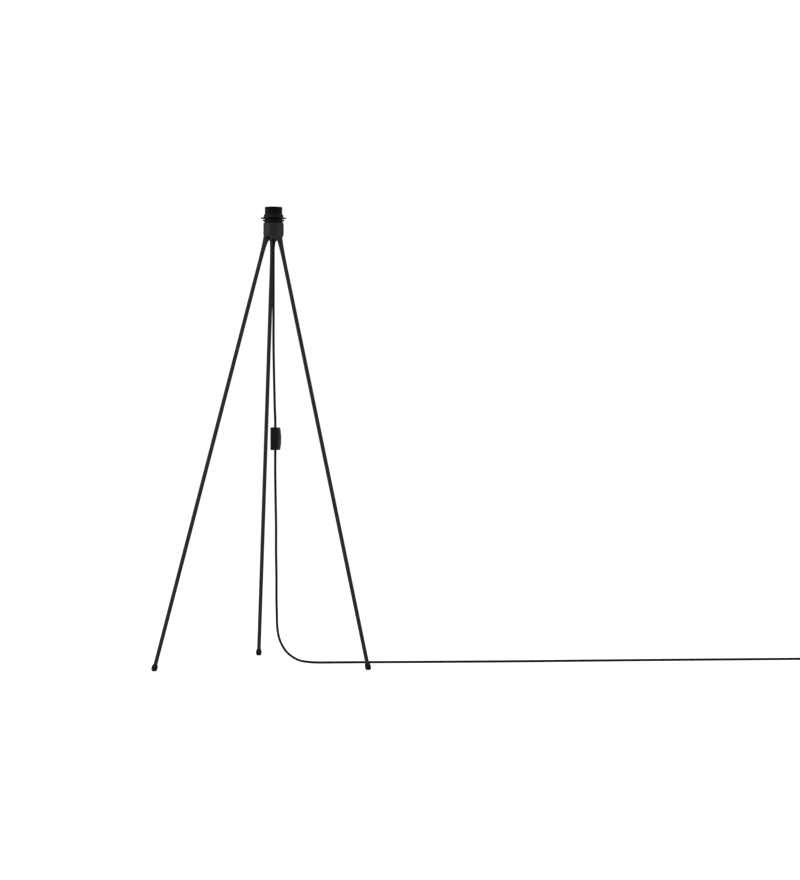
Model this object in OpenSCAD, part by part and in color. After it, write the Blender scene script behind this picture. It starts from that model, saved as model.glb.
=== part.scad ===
// Tripod floor-lamp stand: a cast hub on three slim legs, a screw lampholder
// with two shade rings, and a textile cord with an in-line rocker switch.
// Millimetres, +Z up. The origin is on the floor, midway between the feet.

/* [Stance] */
// Height of the lampholder's rim above the floor
stand_h = 1090; // [900:10:1300]
// Radius of the circle through the three feet
stance_r = 288; // [240:2:330]
// How far the head stands to the right of the middle of the feet
head_shift = 31; // [-40:1:40]
// How far below the rim the three leg axes meet
apex_drop = 5; // [0:1:15]

/* [Legs] */
// Outside diameter of a leg tube
leg_d = 9.5; // [8.5:0.1:11]
// Wall of a leg tube
leg_wall = 1.45; // [1:0.05:2]
// Length of the spigot's grip inside the leg tube
spigot_in_leg = 38; // [20:1:60]
// Diameter of the rubber foot at its widest
foot_d = 14.7; // [12:0.1:20]
// Length of the foot below the end of the tube
foot_h = 16; // [12:0.5:24]
// Diameter of the foot's shoulder under the tube
foot_neck_d = 11.2; // [10:0.1:13]
// Length of the foot's stem inside the tube
foot_stem = 14; // [8:1:25]

/* [Hub] */
// Outside diameter of the hub where its side ends
hub_d = 48.9; // [46:0.1:60]
// Draft of the casting's side, taken off the diameter at the top
hub_draft = 0.7; // [0:0.1:2]
// Height of the hub's straight side
hub_side = 25; // [18:1:40]
// Radius that turns the side into the underside
skirt_round = 18; // [14:0.5:18]
// Radius of the arches between the horns
arch_r = 15; // [12:0.5:16]
// Depth of the arches' crown below the hub's top
arch_drop = 38.5; // [34:0.5:42]
// Depth of the cup that takes the lampholder
cup_depth = 26; // [20:0.5:28]
// Radius of the core that the arches are cut in
core_r = 20; // [18:0.5:20]
// How much narrower the core is at its lower end
core_taper = 3.5; // [2:0.5:5]
// How much a horn flares from its end to its root, on the radius
horn_flare = 3; // [2:0.1:3.2]
// Distance from the leg axes' meeting point to a horn's end
horn_end = 125; // [105:1:150]
// Wall of a horn that stands proud of the leg at the joint
horn_lip = 0.15; // [0.05:0.05:0.6]
// Distance from the meeting point to the socket's blind end
socket_top = 66; // [64:0.5:70]
// Distance from the meeting point to the clamping screw
screw_at = 70.5; // [69:0.5:80]
// Turn of the clamping screw from the leg's outward side
screw_turn = 100; // [80:1:110]
// Diameter of the clamping screw
grub_d = 5; // [3:1:6]
// Length of the clamping screw
grub_len = 3; // [2.5:0.5:4]

/* [Lampholder] */
// Outside diameter of the threaded sleeve
sleeve_d = 42; // [40:0.1:44]
// Height of the sleeve above the holder's shoulder
sleeve_h = 34; // [28:1:40]
// Wall of the sleeve
sleeve_wall = 3.4; // [2.5:0.1:4]
// Diameter of the neck between the hub and the sleeve
neck_d = 43.8; // [43:0.1:46]
// Height of the neck above the hub
neck_h = 3; // [1:0.5:8]
// Inside diameter of the lamp's screw shell
shell_d = 26.6; // [26.4:0.05:27.4]
// Wall of the screw shell
shell_wall = 0.45; // [0.3:0.05:0.8]
// Length of the screw shell
shell_h = 18.4; // [16:0.1:20]
// Diameter of the opening in the sleeve's lip
mouth_d = 29.2; // [28:0.1:32]
// Height of the sleeve's lip
lip_h = 4; // [2:0.5:6]
// Outside diameter of the hollow fixing nipple
nipple_d = 10; // [9:0.5:12]
// Bore of the nipple
nipple_bore = 6.7; // [6.4:0.1:7]
// Width across the flats of the nipple's nut
nut_af = 14; // [13:0.5:17]
// Thickness of the nut
nut_h = 3.5; // [2.5:0.5:4.5]
// Thickness of the washer
washer_h = 1; // [0.6:0.1:1.5]

/* [Shade rings] */
// Diameter of the upper ring's flange
flange_d = 61; // [56:0.5:70]
// Thickness of the flange
flange_t = 2.2; // [1.5:0.1:3]
// Diameter of the upper ring's grip collar
collar_d = 46.5; // [45.5:0.1:50]
// Height of the upper ring, collar and flange together
ring_h = 9.5; // [7:0.5:12]
// Diameter of the lower ring
low_ring_d = 51; // [47:0.5:56]
// Thickness of the lower ring
low_ring_t = 3.2; // [2:0.1:4]
// Gap between the two rings, where a shade's own ring is held
ring_gap = 3; // [2:0.5:6]

/* [Cord] */
// Diameter of the textile cord
cord_d = 6; // [5:0.1:6.4]
// Length of the tapered grip below the arches' crown
grip_len = 20; // [20:1:30]
// Diameter of the grip under the hub
grip_d = 10.4; // [9.6:0.1:12]
// Diameter of one insulated lead
lead_d = 2.2; // [1.8:0.1:2.4]

/* [Switch] */
// Length of the switch housing
switch_l = 54.5; // [50:0.5:70]
// Width of the switch housing
switch_w = 25; // [22:0.5:30]
// Thickness of the switch housing at its ends
switch_t = 18.5; // [16:0.5:24]
// Crown of the switch's front above its ends
switch_crown = 2.8; // [1:0.1:4]
// Wall of the switch housing
switch_wall = 2; // [1.4:0.1:2.6]
// Turn of the switch about the hanging cord
switch_yaw = -22; // [-90:1:90]
// Length of the rocker
rocker_l = 29; // [24:0.5:32]
// Width of the rocker
rocker_w = 12.6; // [10:0.2:15]
// Swing of the rocker to each side of its middle
rocker_swing = 4; // [3:0.5:6]

/* [Plug] */
// Length of the plug's body
plug_l = 36; // [30:1:45]
// Width of the plug's body
plug_w = 35; // [33:0.5:40]
// Thickness of the plug's body
plug_t = 13.7; // [12:0.1:18]
// Diameter of a plug pin
pin_d = 4; // [4:0.1:4.8]
// Length of a plug pin outside the body
pin_l = 19; // [17:0.5:19]
// Distance between the plug pins
pin_pitch = 19; // [18:0.1:19]
// Length of the plug's tapered relief
relief_l = 24; // [20:1:40]

/* [Hidden] */
$fn = 64;

// Clearances: on the radius of a fit, and between flat faces that seat
fit = 0.05;
seat = 0.1;
slip = 0.4;

// Where the feet and the head stand
LEFT = 210;
RIGHT = 330;
REAR = 90;
LEGS = [LEFT, RIGHT, REAR];
centre_y = -stance_r / 4;
apex_z = stand_h - apex_drop;
apex = [head_shift, centre_y, apex_z];
function leg_run(a) = [stance_r * cos(a) - head_shift, stance_r * sin(a), -apex_z];
function leg_reach(a) = norm(leg_run(a));
function leg_heading(a) = atan2(leg_run(a).y, leg_run(a).x);
function leg_tilt(a) = acos(apex_z / leg_reach(a));

// Levels of the head
shoulder_z = stand_h - sleeve_h;
hub_top = shoulder_z - neck_h;
skirt_z = hub_top - hub_side;
floor_z = hub_top - cup_depth;
arch_top = hub_top - arch_drop;
core_z = arch_top - arch_r + 2.5;
nut_z = floor_z + washer_h;
base_z = nut_z + nut_h;
low_ring_z = shoulder_z + 3 * seat;
ring_z = low_ring_z + low_ring_t + ring_gap;
grip_z = arch_top - grip_len;

// Radii of the head
hub_r = hub_d / 2;
sleeve_r = sleeve_d / 2;
neck_r = neck_d / 2;
bore_r = sleeve_r - sleeve_wall;
insert_r = bore_r - seat;
shell_r = shell_d / 2;
nipple_r = nipple_d / 2;
cord_r = cord_d / 2;
leg_r = leg_d / 2;
tube_r = leg_r - leg_wall;
spigot_r = tube_r - fit;
horn_r = leg_r + horn_lip;

// Levels of the lampholder's inside
base_floor = 3;
boss_h = 9;
boss_r = nipple_r + 3;
ledge_z = base_z + 12;
ledge_in = 1.6;
insert_floor = 4;
insert_z = shoulder_z;
insert_top = stand_h - lip_h - seat;
skirt_t = 1.5;
contact_rise = 3.4;
shell_z = insert_z + insert_floor + contact_rise + 1;
contact_t = 0.6;
block = [7, 7, 9];
block_x = 8.5;
rivet_r = 1.25;
m3_r = 1.5;

// Switch and plug places
switch_at = [35, -72, 539];
rocker_proud = 0.6;
pivot_in = 5.5;
pivot_r = 1.25;
split_x = -1;
front_x = switch_t / 2 + switch_crown;
pivot_x = front_x - pivot_in;
rocker_end_gap = 0.9;
rocker_side_gap = 0.4;
bridge_t = 0.8;
rocker_low = 2.6;
screw_y = 6.4;
screw_r = 1.2;
screw_head = 1.9;
post_r = 2.4;
edge_r = 2.4;
clamp_z = switch_l / 2 - 9;
pin_root = 11.5;
pin_root_r = pin_d / 2 - 0.2;
tail_in = 6;

// The cord's route, upper stretch: grip to switch
UPPER = [
    [31, -72, 994.5], [31, -72, 970], [31, -72, 930], [31, -72, 880], [31, -72, 820],
    [31, -72, 760], [32, -72, 700], [33, -72, 650], [34, -72, 610], [35, -72, 585],
    [35, -72, 566.25]
];
// Lower stretch: switch to floor, and along the floor to the plug
LOWER = [
    [35, -72, 511.75], [35, -72, 495], [35, -72, 450], [36, -72, 390], [37, -71, 330],
    [37, -70, 270], [38, -69, 210], [38, -68, 160], [39, -66, 120], [40, -64, 90],
    [44, -61, 66], [52, -58, 46], [63, -55, 30], [77, -52, 18], [94, -47, 9],
    [114, -42, 5], [138, -39, 3.3], [170, -37, 3], [240, -36, 3], [335, -37, 3],
    [480, -37, 3], [635, -35, 3], [795, -28, 3], [935, -22, 3], [1075, -18, 3],
    [1215, -15, 3], [1310, -13, 3], [1370, -10, 3], [1410, -2, 3.2], [1434, 8, 5],
    [1448, 15, 6.6], [1456, 20, 6.85]
];
plug_yaw = atan2(5, 8);
plug_from = [1456.2, 20.1, 6.85];

// ---------- helpers ----------

// Places children with +Z running down a leg from the point where the legs meet
module along_leg(a) {
    translate(apex) rotate([0, 180 - leg_tilt(a), leg_heading(a)]) children();
}

// Places children on the head's axis, at a height
module on_head(z) {
    translate([head_shift, centre_y, z]) children();
}

module ring(r_out, r_in, h) {
    difference() {
        cylinder(r = r_out, h = h);
        translate([0, 0, -1]) cylinder(r = r_in, h = h + 2);
    }
}

function arc(c, r, from, to, n) =
    [for (i = [0:n]) c + r * [cos(from + (to - from) * i / n), sin(from + (to - from) * i / n)]];

function rounded(x0, x1, y0, y1, r) = concat(
    arc([x1 - r, y0 + r], r, -90, 0, 5), arc([x1 - r, y1 - r], r, 0, 90, 5),
    arc([x0 + r, y1 - r], r, 90, 180, 5), arc([x0 + r, y0 + r], r, 180, 270, 5));

// A smooth curve through a route's points, with two steps to each stretch
function clamped(p, i) = p[max(0, min(len(p) - 1, i))];
function between(p, i, t) =
    let (a = clamped(p, i - 1), b = clamped(p, i), c = clamped(p, i + 1), d = clamped(p, i + 2))
    0.5 * (2 * b + (c - a) * t + (2 * a - 5 * b + 4 * c - d) * t * t
        + (3 * b - a - 3 * c + d) * t * t * t);
function curve(p) = concat(
    [for (i = [0:len(p) - 2]) for (t = [0, 0.5]) between(p, i, t)], [p[len(p) - 1]]);
function heading(p, i) =
    let (d = clamped(p, i + 1) - clamped(p, i - 1)) d / norm(d);

// A round tube swept along a route: rings square to it, closed by two flat ends
module tube(route, r, sides) {
    path = curve(route);
    last = len(path) - 1;
    points = [
        for (i = [0:last])
            let (
                d = heading(path, i),
                u = cross(d, [0, 1, 0]) / norm(cross(d, [0, 1, 0])),
                v = cross(d, u)
            )
            for (k = [0:sides - 1])
                path[i] + r * (u * cos(360 * k / sides) + v * sin(360 * k / sides))
    ];
    skin = [
        for (i = [0:last - 1]) for (k = [0:sides - 1])
            let (n = (k + 1) % sides, a = i * sides, b = a + sides)
            each [[a + k, a + n, b + k], [a + n, b + n, b + k]]
    ];
    ends = [
        [for (k = [sides - 1:-1:0]) k],
        [for (k = [0:sides - 1]) last * sides + k]
    ];
    polyhedron(points = points, faces = concat(skin, ends), convexity = 8);
}

// ---------- hub and legs ----------

module hub_blank() {
    top_round = 1.5;
    top_r = hub_r - hub_draft / 2;
    core_turn = acos((core_r + skirt_round - hub_r) / skirt_round);
    on_head(0) rotate_extrude($fn = 96) polygon(concat(
        [[0, core_z], [core_r - core_taper, core_z]],
        arc([hub_r - skirt_round, skirt_z], skirt_round, -core_turn, 0, 8),
        arc([top_r - top_round, hub_top - top_round], top_round, 0, 90, 5),
        [[0, hub_top]]
    ));
}

// Horizontal vaults that open the underside between the horns
module arches() {
    left = leg_heading(LEFT);
    right = leg_heading(RIGHT);
    rear = leg_heading(REAR);
    for (g = [(left + right) / 2, (right + rear) / 2, (rear + left + 360) / 2]) {
        on_head(arch_top - arch_r) rotate([0, 90, g]) cylinder(r = arch_r, h = hub_d, $fn = 96);
    }
}

module horn(a) {
    root = socket_top - 8;
    steps = 12;
    function taper(u) = horn_r + horn_flare * pow(1 - u, 2);
    along_leg(a) rotate_extrude() polygon(concat(
        [[0, root]],
        [for (i = [0:steps]) [taper(i / steps), root + (horn_end - root) * i / steps]],
        [[0, horn_end]]
    ));
}

module hub_casting() {
    color([0.13, 0.13, 0.13]) difference() {
        union() {
            difference() {
                hub_blank();
                arches();
            }
            for (a = LEGS) horn(a);
        }
        on_head(floor_z) cylinder(r = neck_r + slip, h = cup_depth + 1, $fn = 96);
        on_head(core_z - 1) cylinder(r = nipple_r + fit, h = hub_side + cup_depth);
        on_head(core_z - 1) cylinder(r = grip_d / 2 + slip, h = arch_top - core_z + 2);
        for (a = LEGS) {
            along_leg(a) translate([0, 0, socket_top])
                cylinder(r = tube_r, h = horn_end - socket_top + 5);
            along_leg(a) translate([0, 0, screw_at]) rotate([0, 90, 180 - screw_turn])
                cylinder(r = grub_d / 2 + fit, h = hub_r + 2);
        }
    }
}

module leg(a) {
    color([0.12, 0.12, 0.12]) along_leg(a) translate([0, 0, horn_end])
        ring(leg_r, tube_r, leg_reach(a) - foot_h - horn_end);
}

module leg_spigots() {
    color("silver") for (a = LEGS) {
        along_leg(a) translate([0, 0, socket_top + seat])
            cylinder(r = spigot_r, h = horn_end + spigot_in_leg - socket_top - seat);
    }
}

module grub_screws() {
    socket_af = grub_d / 2;
    socket_deep = grub_len * 0.4;
    color("dimgray") for (a = LEGS) {
        along_leg(a) translate([0, 0, screw_at]) rotate([0, 90, 180 - screw_turn])
            translate([0, 0, spigot_r + fit]) difference() {
                cylinder(r = grub_d / 2, h = grub_len);
                translate([0, 0, grub_len - socket_deep])
                    cylinder(r = socket_af / sqrt(3), h = socket_deep + 1, $fn = 6);
            }
    }
}

// A bulb on the leg's axis, cut flat where it meets the floor. It is turned so that its
// seam is clear of the cut.
module foot(a) {
    widest = foot_h * 0.53;
    r = foot_d / 2;
    upper = widest / sqrt(1 - pow(foot_neck_d / foot_d, 2));
    lower = foot_h * 0.6;
    steps = 8;
    color([0.07, 0.07, 0.07]) difference() {
        along_leg(a) translate([0, 0, leg_reach(a) - foot_h]) {
            rotate(90) rotate_extrude() polygon(concat(
                [[0, 0]],
                [for (i = [0:steps]) let (t = widest * i / steps)
                    [r * sqrt(1 - pow((widest - t) / upper, 2)), t]],
                [for (i = [1:steps]) let (b = 90 * i / steps)
                    [r * cos(b), widest + lower * sin(b)]]
            ));
            translate([0, 0, -foot_stem]) cylinder(r = tube_r - fit, h = foot_stem + 1);
        }
        translate([stance_r * cos(a), centre_y + stance_r * sin(a), -foot_d])
            cube([4 * foot_d, 4 * foot_d, 2 * foot_d], center = true);
    }
}

module leg_left() { leg(LEFT); }
module leg_right() { leg(RIGHT); }
module leg_rear() { leg(REAR); }
module foot_left() { foot(LEFT); }
module foot_right() { foot(RIGHT); }
module foot_rear() { foot(REAR); }

// ---------- lampholder ----------

// Nylon grip: its threaded end is in the hub's floor, and its nose tapers along the cord
module cord_grip() {
    nose_r = cord_r + 0.7;
    thread_h = 5;
    color([0.06, 0.06, 0.06]) on_head(0) difference() {
        union() {
            translate([0, 0, grip_z]) cylinder(r1 = nose_r, r2 = grip_d / 2, h = grip_len);
            translate([0, 0, arch_top]) cylinder(r = nipple_r, h = thread_h);
        }
        translate([0, 0, grip_z - 1])
            cylinder(r = cord_r + fit, h = grip_len + thread_h + 2);
    }
}

module nipple() {
    low = arch_top + 5 + seat;
    color("silver") on_head(low) ring(nipple_r, nipple_bore / 2, base_z + boss_h - low);
}

module lock_washer() {
    color("silver") on_head(floor_z) ring(nut_af / 2 + 2, nipple_r + fit, washer_h);
}

module nipple_nut() {
    color("silver") on_head(nut_z) difference() {
        cylinder(r = nut_af / sqrt(3), h = nut_h, $fn = 6);
        translate([0, 0, -1]) cylinder(r = nipple_r + fit, h = nut_h + 2);
    }
}

module holder_base() {
    color([0.06, 0.06, 0.06]) on_head(0) difference() {
        translate([0, 0, base_z]) cylinder(r = neck_r, h = shoulder_z - base_z, $fn = 96);
        difference() {
            translate([0, 0, base_z + base_floor])
                cylinder(r = bore_r - ledge_in, h = shoulder_z - base_z);
            translate([0, 0, base_z]) cylinder(r = boss_r, h = boss_h);
        }
        translate([0, 0, ledge_z]) cylinder(r = bore_r + fit, h = shoulder_z);
        translate([0, 0, base_z - 1]) cylinder(r = nipple_r + fit, h = boss_h + 2);
    }
}

// Insulator that carries the shell and the contacts
module holder_insert() {
    color([0.85, 0.84, 0.8]) on_head(0) difference() {
        translate([0, 0, ledge_z + seat]) cylinder(r = insert_r, h = insert_top - ledge_z - seat);
        translate([0, 0, ledge_z]) cylinder(r = insert_r - skirt_t, h = insert_z - ledge_z);
        translate([0, 0, insert_z + insert_floor])
            cylinder(r = shell_r + shell_wall + fit, h = stand_h);
        for (x = [-block_x, block_x]) {
            translate([x, 0, insert_z - 1]) cylinder(r = rivet_r + fit, h = insert_floor + 2);
        }
    }
}

// Sleeve with the outside thread for the shade rings; it holds the insert down
module holder_sleeve() {
    top_round = 0.8;
    color([0.05, 0.05, 0.05]) on_head(0) difference() {
        rotate_extrude($fn = 96) polygon(concat(
            [[bore_r, shoulder_z], [sleeve_r, shoulder_z]],
            arc([sleeve_r - top_round, stand_h - top_round], top_round, 0, 90, 4),
            [[mouth_d / 2, stand_h], [mouth_d / 2, stand_h - lip_h], [bore_r, stand_h - lip_h]]
        ));
    }
}

module screw_shell() {
    color("gold") on_head(shell_z) ring(shell_r + shell_wall, shell_r, shell_h);
}

// Strip on the insulator's floor that rises to a tongue in the middle
module centre_contact() {
    strip_w = 5;
    floor_top = insert_z + insert_floor;
    rise = contact_rise;
    color("gold") on_head(floor_top) difference() {
        translate([0, strip_w / 2, 0]) rotate([90, 0, 0]) linear_extrude(strip_w) polygon([
            [block_x + 3, 0], [block_x + 3, contact_t], [block_x - 3, contact_t],
            [2.6, rise + contact_t], [-3, rise + contact_t], [-3, rise],
            [2.2, rise], [block_x - 3.4, 0]
        ]);
        translate([block_x, 0, -1]) cylinder(r = rivet_r + fit, h = rise);
    }
}

module side_contact() {
    strip_w = 5;
    floor_top = insert_z + insert_floor;
    tab_w = 2;
    outer = shell_r + shell_wall - 0.6;
    color("gold") on_head(floor_top) difference() {
        union() {
            translate([-outer, -strip_w / 2, 0]) cube([outer - block_x + 3, strip_w, contact_t]);
            translate([-outer - 0.5, -tab_w / 2, 0])
                cube([contact_t, tab_w, contact_rise + 1 - seat]);
        }
        translate([-block_x, 0, -1]) cylinder(r = rivet_r + fit, h = 3);
    }
}

module contact_rivets() {
    top = insert_floor + contact_t;
    color("gold") for (x = [-block_x, block_x]) {
        on_head(insert_z) translate([x, 0, 0]) {
            cylinder(r = rivet_r, h = top);
            translate([0, 0, top]) cylinder(r = rivet_r + 0.8, h = 0.7);
        }
    }
}

module terminal_blocks() {
    color("gold") for (x = [-block_x, block_x]) {
        on_head(insert_z - block.z) translate([x, 0, 0]) difference() {
            translate([0, 0, block.z / 2]) cube(block, center = true);
            translate([0, 0, -1]) cylinder(r = lead_d / 2 + 0.1, h = block.z - 2);
            translate([0, 0, block.z / 2 - 1]) rotate([-90, 0, 0])
                cylinder(r = m3_r + fit, h = block.y);
        }
    }
}

module terminal_screws() {
    color("silver") for (x = [-block_x, block_x]) {
        on_head(insert_z - block.z / 2 - 1) translate([x, lead_d / 2 + 0.2, 0]) rotate([-90, 0, 0]) {
            difference() {
                union() {
                    cylinder(r = m3_r, h = block.y / 2);
                    translate([0, 0, block.y / 2 - lead_d / 2]) cylinder(r = m3_r * 1.7, h = 1.6);
                }
                translate([-m3_r * 2, -0.3, block.y / 2 - lead_d / 2 + 0.8])
                    cube([m3_r * 4, 0.6, 2]);
            }
        }
    }
}

// ---------- shade rings ----------

module shade_ring_lower() {
    edge = 0.9;
    r = low_ring_d / 2;
    color([0.1, 0.1, 0.1]) on_head(low_ring_z) rotate_extrude($fn = 96) polygon(concat(
        [[sleeve_r + fit, 0]],
        arc([r - edge, edge], edge, -90, 0, 4),
        arc([r - edge, low_ring_t - edge], edge, 0, 90, 4),
        [[sleeve_r + fit, low_ring_t]]
    ));
}

// Flange with a drooping rim below, grip collar above
module shade_ring_upper() {
    r = flange_d / 2;
    rim = flange_t / 2 - 0.2;
    droop = 0.4;
    inner = 0.8;
    collar_r = collar_d / 2;
    color([0.06, 0.06, 0.06]) on_head(ring_z) rotate_extrude($fn = 96) polygon(concat(
        [[sleeve_r + fit, droop], [r - 5, droop]],
        arc([r - rim, rim], rim, -90, 60, 6),
        [[r - 5, droop + flange_t - 0.2], [collar_r + inner, droop + flange_t]],
        arc([collar_r + inner, droop + flange_t + inner], inner, -100, -180, 4),
        arc([collar_r - inner, ring_h - inner], inner, 0, 90, 4),
        [[sleeve_r + fit, ring_h]]
    ));
}

// ---------- wiring in the head ----------

tail_top = ledge_z - 2;

module cord_tail() {
    color([0.1, 0.1, 0.1]) on_head(grip_z + 0.5)
        cylinder(r = cord_r, h = tail_top - grip_z - 0.5);
}

// Two insulated leads from the sheath's end to the terminal blocks
module lamp_leads() {
    start = lead_d / 2 + 0.25;
    bend = 1.5;
    entry = insert_z - block.z + 2.5;
    color("sienna") for (side = [-1, 1]) {
        on_head(0) tube([
            [side * start, 0, tail_top + slip], [side * start, 0, tail_top + 2 * bend],
            [side * (start + block_x) / 2, 0, (tail_top + entry) / 2 - 1],
            [side * block_x, 0, entry - 2 - bend], [side * block_x, 0, entry]
        ], lead_d / 2, 8);
    }
}

// ---------- cord, switch and plug ----------

module cord_upper() {
    color([0.1, 0.1, 0.1]) tube(UPPER, cord_r, 8);
}

module cord_lower() {
    color([0.1, 0.1, 0.1]) tube(LOWER, cord_r, 8);
}

// The switch's own frame: +X out of the rocker, Y across, Z along the cord
module at_switch() {
    translate(switch_at) rotate([0, 0, switch_yaw]) children();
}

function crown_x(z) = switch_t / 2 + switch_crown * (1 - pow(2 * z / switch_l, 2));

// Outline of the housing seen from its side, with rounded ends and a crowned front
function side_outline(inset) = let (
    h = switch_l / 2 - inset,
    back = -switch_t / 2 + inset,
    r = max(edge_r - inset, 0.4),
    steps = 12
) concat(
    arc([back + r, -h + r], r, 180, 270, 4),
    arc([crown_x(h) - inset - r, -h + r], r, -90, -10, 4),
    [for (i = [1:steps - 1]) let (z = -h + 2 * h * i / steps) [crown_x(z) - inset, z]],
    arc([crown_x(h) - inset - r, h - r], r, 10, 90, 4),
    arc([back + r, h - r], r, 90, 180, 4)
);

module housing(inset) {
    w = switch_w - 2 * inset;
    r = 4 - inset * 0.9;
    intersection() {
        translate([0, w / 2, 0]) rotate([90, 0, 0]) linear_extrude(w) polygon(side_outline(inset));
        translate([0, 0, -switch_l]) linear_extrude(2 * switch_l)
            polygon(rounded(-switch_t / 2 + inset, front_x - inset, -w / 2, w / 2, r));
    }
}

module half_space(side) {
    big = 2 * switch_l;
    translate([split_x + side * big / 2, 0, 0]) cube([big, big, 1.5 * big], center = true);
}

module at_screws(x) {
    for (side = [-1, 1]) {
        translate([x, side * screw_y, 0]) rotate([0, 90, 0]) children();
    }
}

module cord_way() {
    translate([0, 0, -switch_l]) cylinder(r = cord_r + fit, h = 2 * switch_l);
}

module switch_base() {
    color([0.08, 0.08, 0.08]) at_switch() intersection() {
        half_space(-1);
        difference() {
            union() {
                difference() {
                    housing(0);
                    housing(switch_wall);
                }
                at_screws(-switch_t / 2 + switch_wall / 2) cylinder(r = post_r, h = switch_t / 2);
            }
            cord_way();
            at_screws(-switch_t) cylinder(r = screw_r + fit, h = switch_t * 2);
            at_screws(-switch_t / 2 - 1) cylinder(r = screw_head + fit, h = 2.6);
        }
    }
}

module rocker_window() {
    translate([pivot_x - rocker_low - bridge_t, -rocker_w / 2 - rocker_side_gap, -rocker_l / 2 - rocker_end_gap])
        cube([switch_t, rocker_w + 2 * rocker_side_gap, rocker_l + 2 * rocker_end_gap]);
}

// Front shell: window for the rocker, two cheeks that carry its pin, and the screws' bosses
module switch_cover() {
    cheek = 2;
    cheek_y = rocker_w / 2 + rocker_side_gap;
    boss_top = pivot_x - rocker_low - bridge_t - 1;
    color([0.08, 0.08, 0.08]) at_switch() intersection() {
        half_space(1);
        difference() {
            union() {
                difference() {
                    housing(0);
                    housing(switch_wall);
                }
                intersection() {
                    for (side = [-1, 1]) {
                        translate([split_x, side * (cheek_y + cheek / 2) - cheek / 2, -5])
                            cube([front_x - split_x, cheek, 10]);
                    }
                    housing(switch_wall / 2);
                }
                at_screws(split_x) cylinder(r = post_r, h = boss_top - split_x);
            }
            cord_way();
            rocker_window();
            translate([pivot_x, 0, 0]) rotate([90, 0, 0])
                cylinder(r = pivot_r + fit, h = 2 * (cheek_y + cheek - 0.4), center = true);
            at_screws(split_x - 1) cylinder(r = screw_r + fit, h = boss_top - split_x);
        }
    }
}

// Rocker turned about its pin to its off side
module at_rocker() {
    at_switch() translate([pivot_x, 0, 0]) rotate([0, rocker_swing, 0]) children();
}

module switch_rocker() {
    top = pivot_in + rocker_proud;
    half = rocker_l / 2;
    sag = 2;
    steps = 12;
    color([0.05, 0.05, 0.05]) at_rocker() difference() {
        translate([0, rocker_w / 2, 0]) rotate([90, 0, 0]) linear_extrude(rocker_w) polygon(concat(
            [[-rocker_low, -5], [2, -half + 1.5], [top - sag - 1, -half + 0.3]],
            [for (i = [0:steps]) let (z = -half + rocker_l * i / steps)
                [top - sag * pow(z / half, 2), z]],
            [[top - sag - 1, half - 0.3], [2, half - 1.5], [-rocker_low, 5]]
        ));
        rotate([90, 0, 0]) cylinder(r = pivot_r + fit, h = rocker_w + 2, center = true);
    }
}

module rocker_pin() {
    span = 2 * (rocker_w / 2 + rocker_side_gap + 1.4);
    color("silver") at_switch() translate([pivot_x, 0, 0]) rotate([90, 0, 0])
        cylinder(r = pivot_r, h = span, center = true);
}

// Two fixed strips on the back wall, one to each end of the housing
module switch_contacts() {
    back = -switch_t / 2 + switch_wall;
    strip_w = 4;
    rise = pivot_x - rocker_low - bridge_t - 0.6 - back;
    color("gold") at_switch() for (side = [-1, 1]) {
        translate([back, -strip_w / 2, side * 9 - 5]) cube([contact_t, strip_w, 10]);
        translate([back, -strip_w / 2, side * 4.4 - 0.4]) cube([rise, strip_w, 0.8]);
    }
}

// Brass bridge under the rocker that joins the strips
module switch_bridge() {
    color("gold") at_rocker() {
        translate([-rocker_low - bridge_t, -2, -5]) cube([bridge_t, 4, 10]);
    }
}

module switch_screws() {
    head_x = -switch_t / 2 + 0.2;
    reach = pivot_x - rocker_low - bridge_t - 2.4 - head_x;
    color("dimgray") at_switch() at_screws(head_x) difference() {
        union() {
            cylinder(r = screw_head, h = 1.4);
            cylinder(r = screw_r, h = reach);
        }
        translate([-2.5, -0.3, -1]) cube([5, 0.6, 1.7]);
    }
}

// Bars that hold the sheath against the back wall at each end
module cord_clamps() {
    color("silver") at_switch() for (side = [-1, 1]) {
        translate([cord_r + seat, -7, side * clamp_z - 2.5]) cube([1.2, 14, 5]);
    }
}

// Ends of the sheath inside the housing
module switch_tails() {
    color([0.1, 0.1, 0.1]) at_switch() for (side = [0, 1]) {
        mirror([0, 0, side]) translate([0, 0, clamp_z - tail_in])
            cylinder(r = cord_r, h = switch_l / 2 - clamp_z + tail_in);
    }
}

module at_plug() {
    translate(plug_from) rotate([0, 0, plug_yaw]) children();
}

module plug_relief() {
    color([0.06, 0.06, 0.06]) at_plug() rotate([0, 90, 0])
        cylinder(r1 = cord_r + 0.5, r2 = plug_t / 2 - 1.2, h = relief_l);
}

// Flat moulded body that widens towards its pins
module plug_body() {
    back_w = plug_t;
    color([0.06, 0.06, 0.06]) at_plug() translate([relief_l, 0, -plug_t / 2]) difference() {
        linear_extrude(plug_t) polygon([
            [0, -back_w / 2], [plug_l * 0.45, -plug_w / 2 + 3], [plug_l * 0.6, -plug_w / 2],
            [plug_l, -plug_w / 2 + 2], [plug_l, plug_w / 2 - 2], [plug_l * 0.6, plug_w / 2],
            [plug_l * 0.45, plug_w / 2 - 3], [0, back_w / 2]
        ]);
        for (side = [-1, 1]) {
            translate([plug_l - pin_root - 0.5, side * pin_pitch / 2, plug_t / 2])
                rotate([0, 90, 0]) cylinder(r = pin_root_r + fit, h = pin_root + 2);
        }
    }
}

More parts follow.
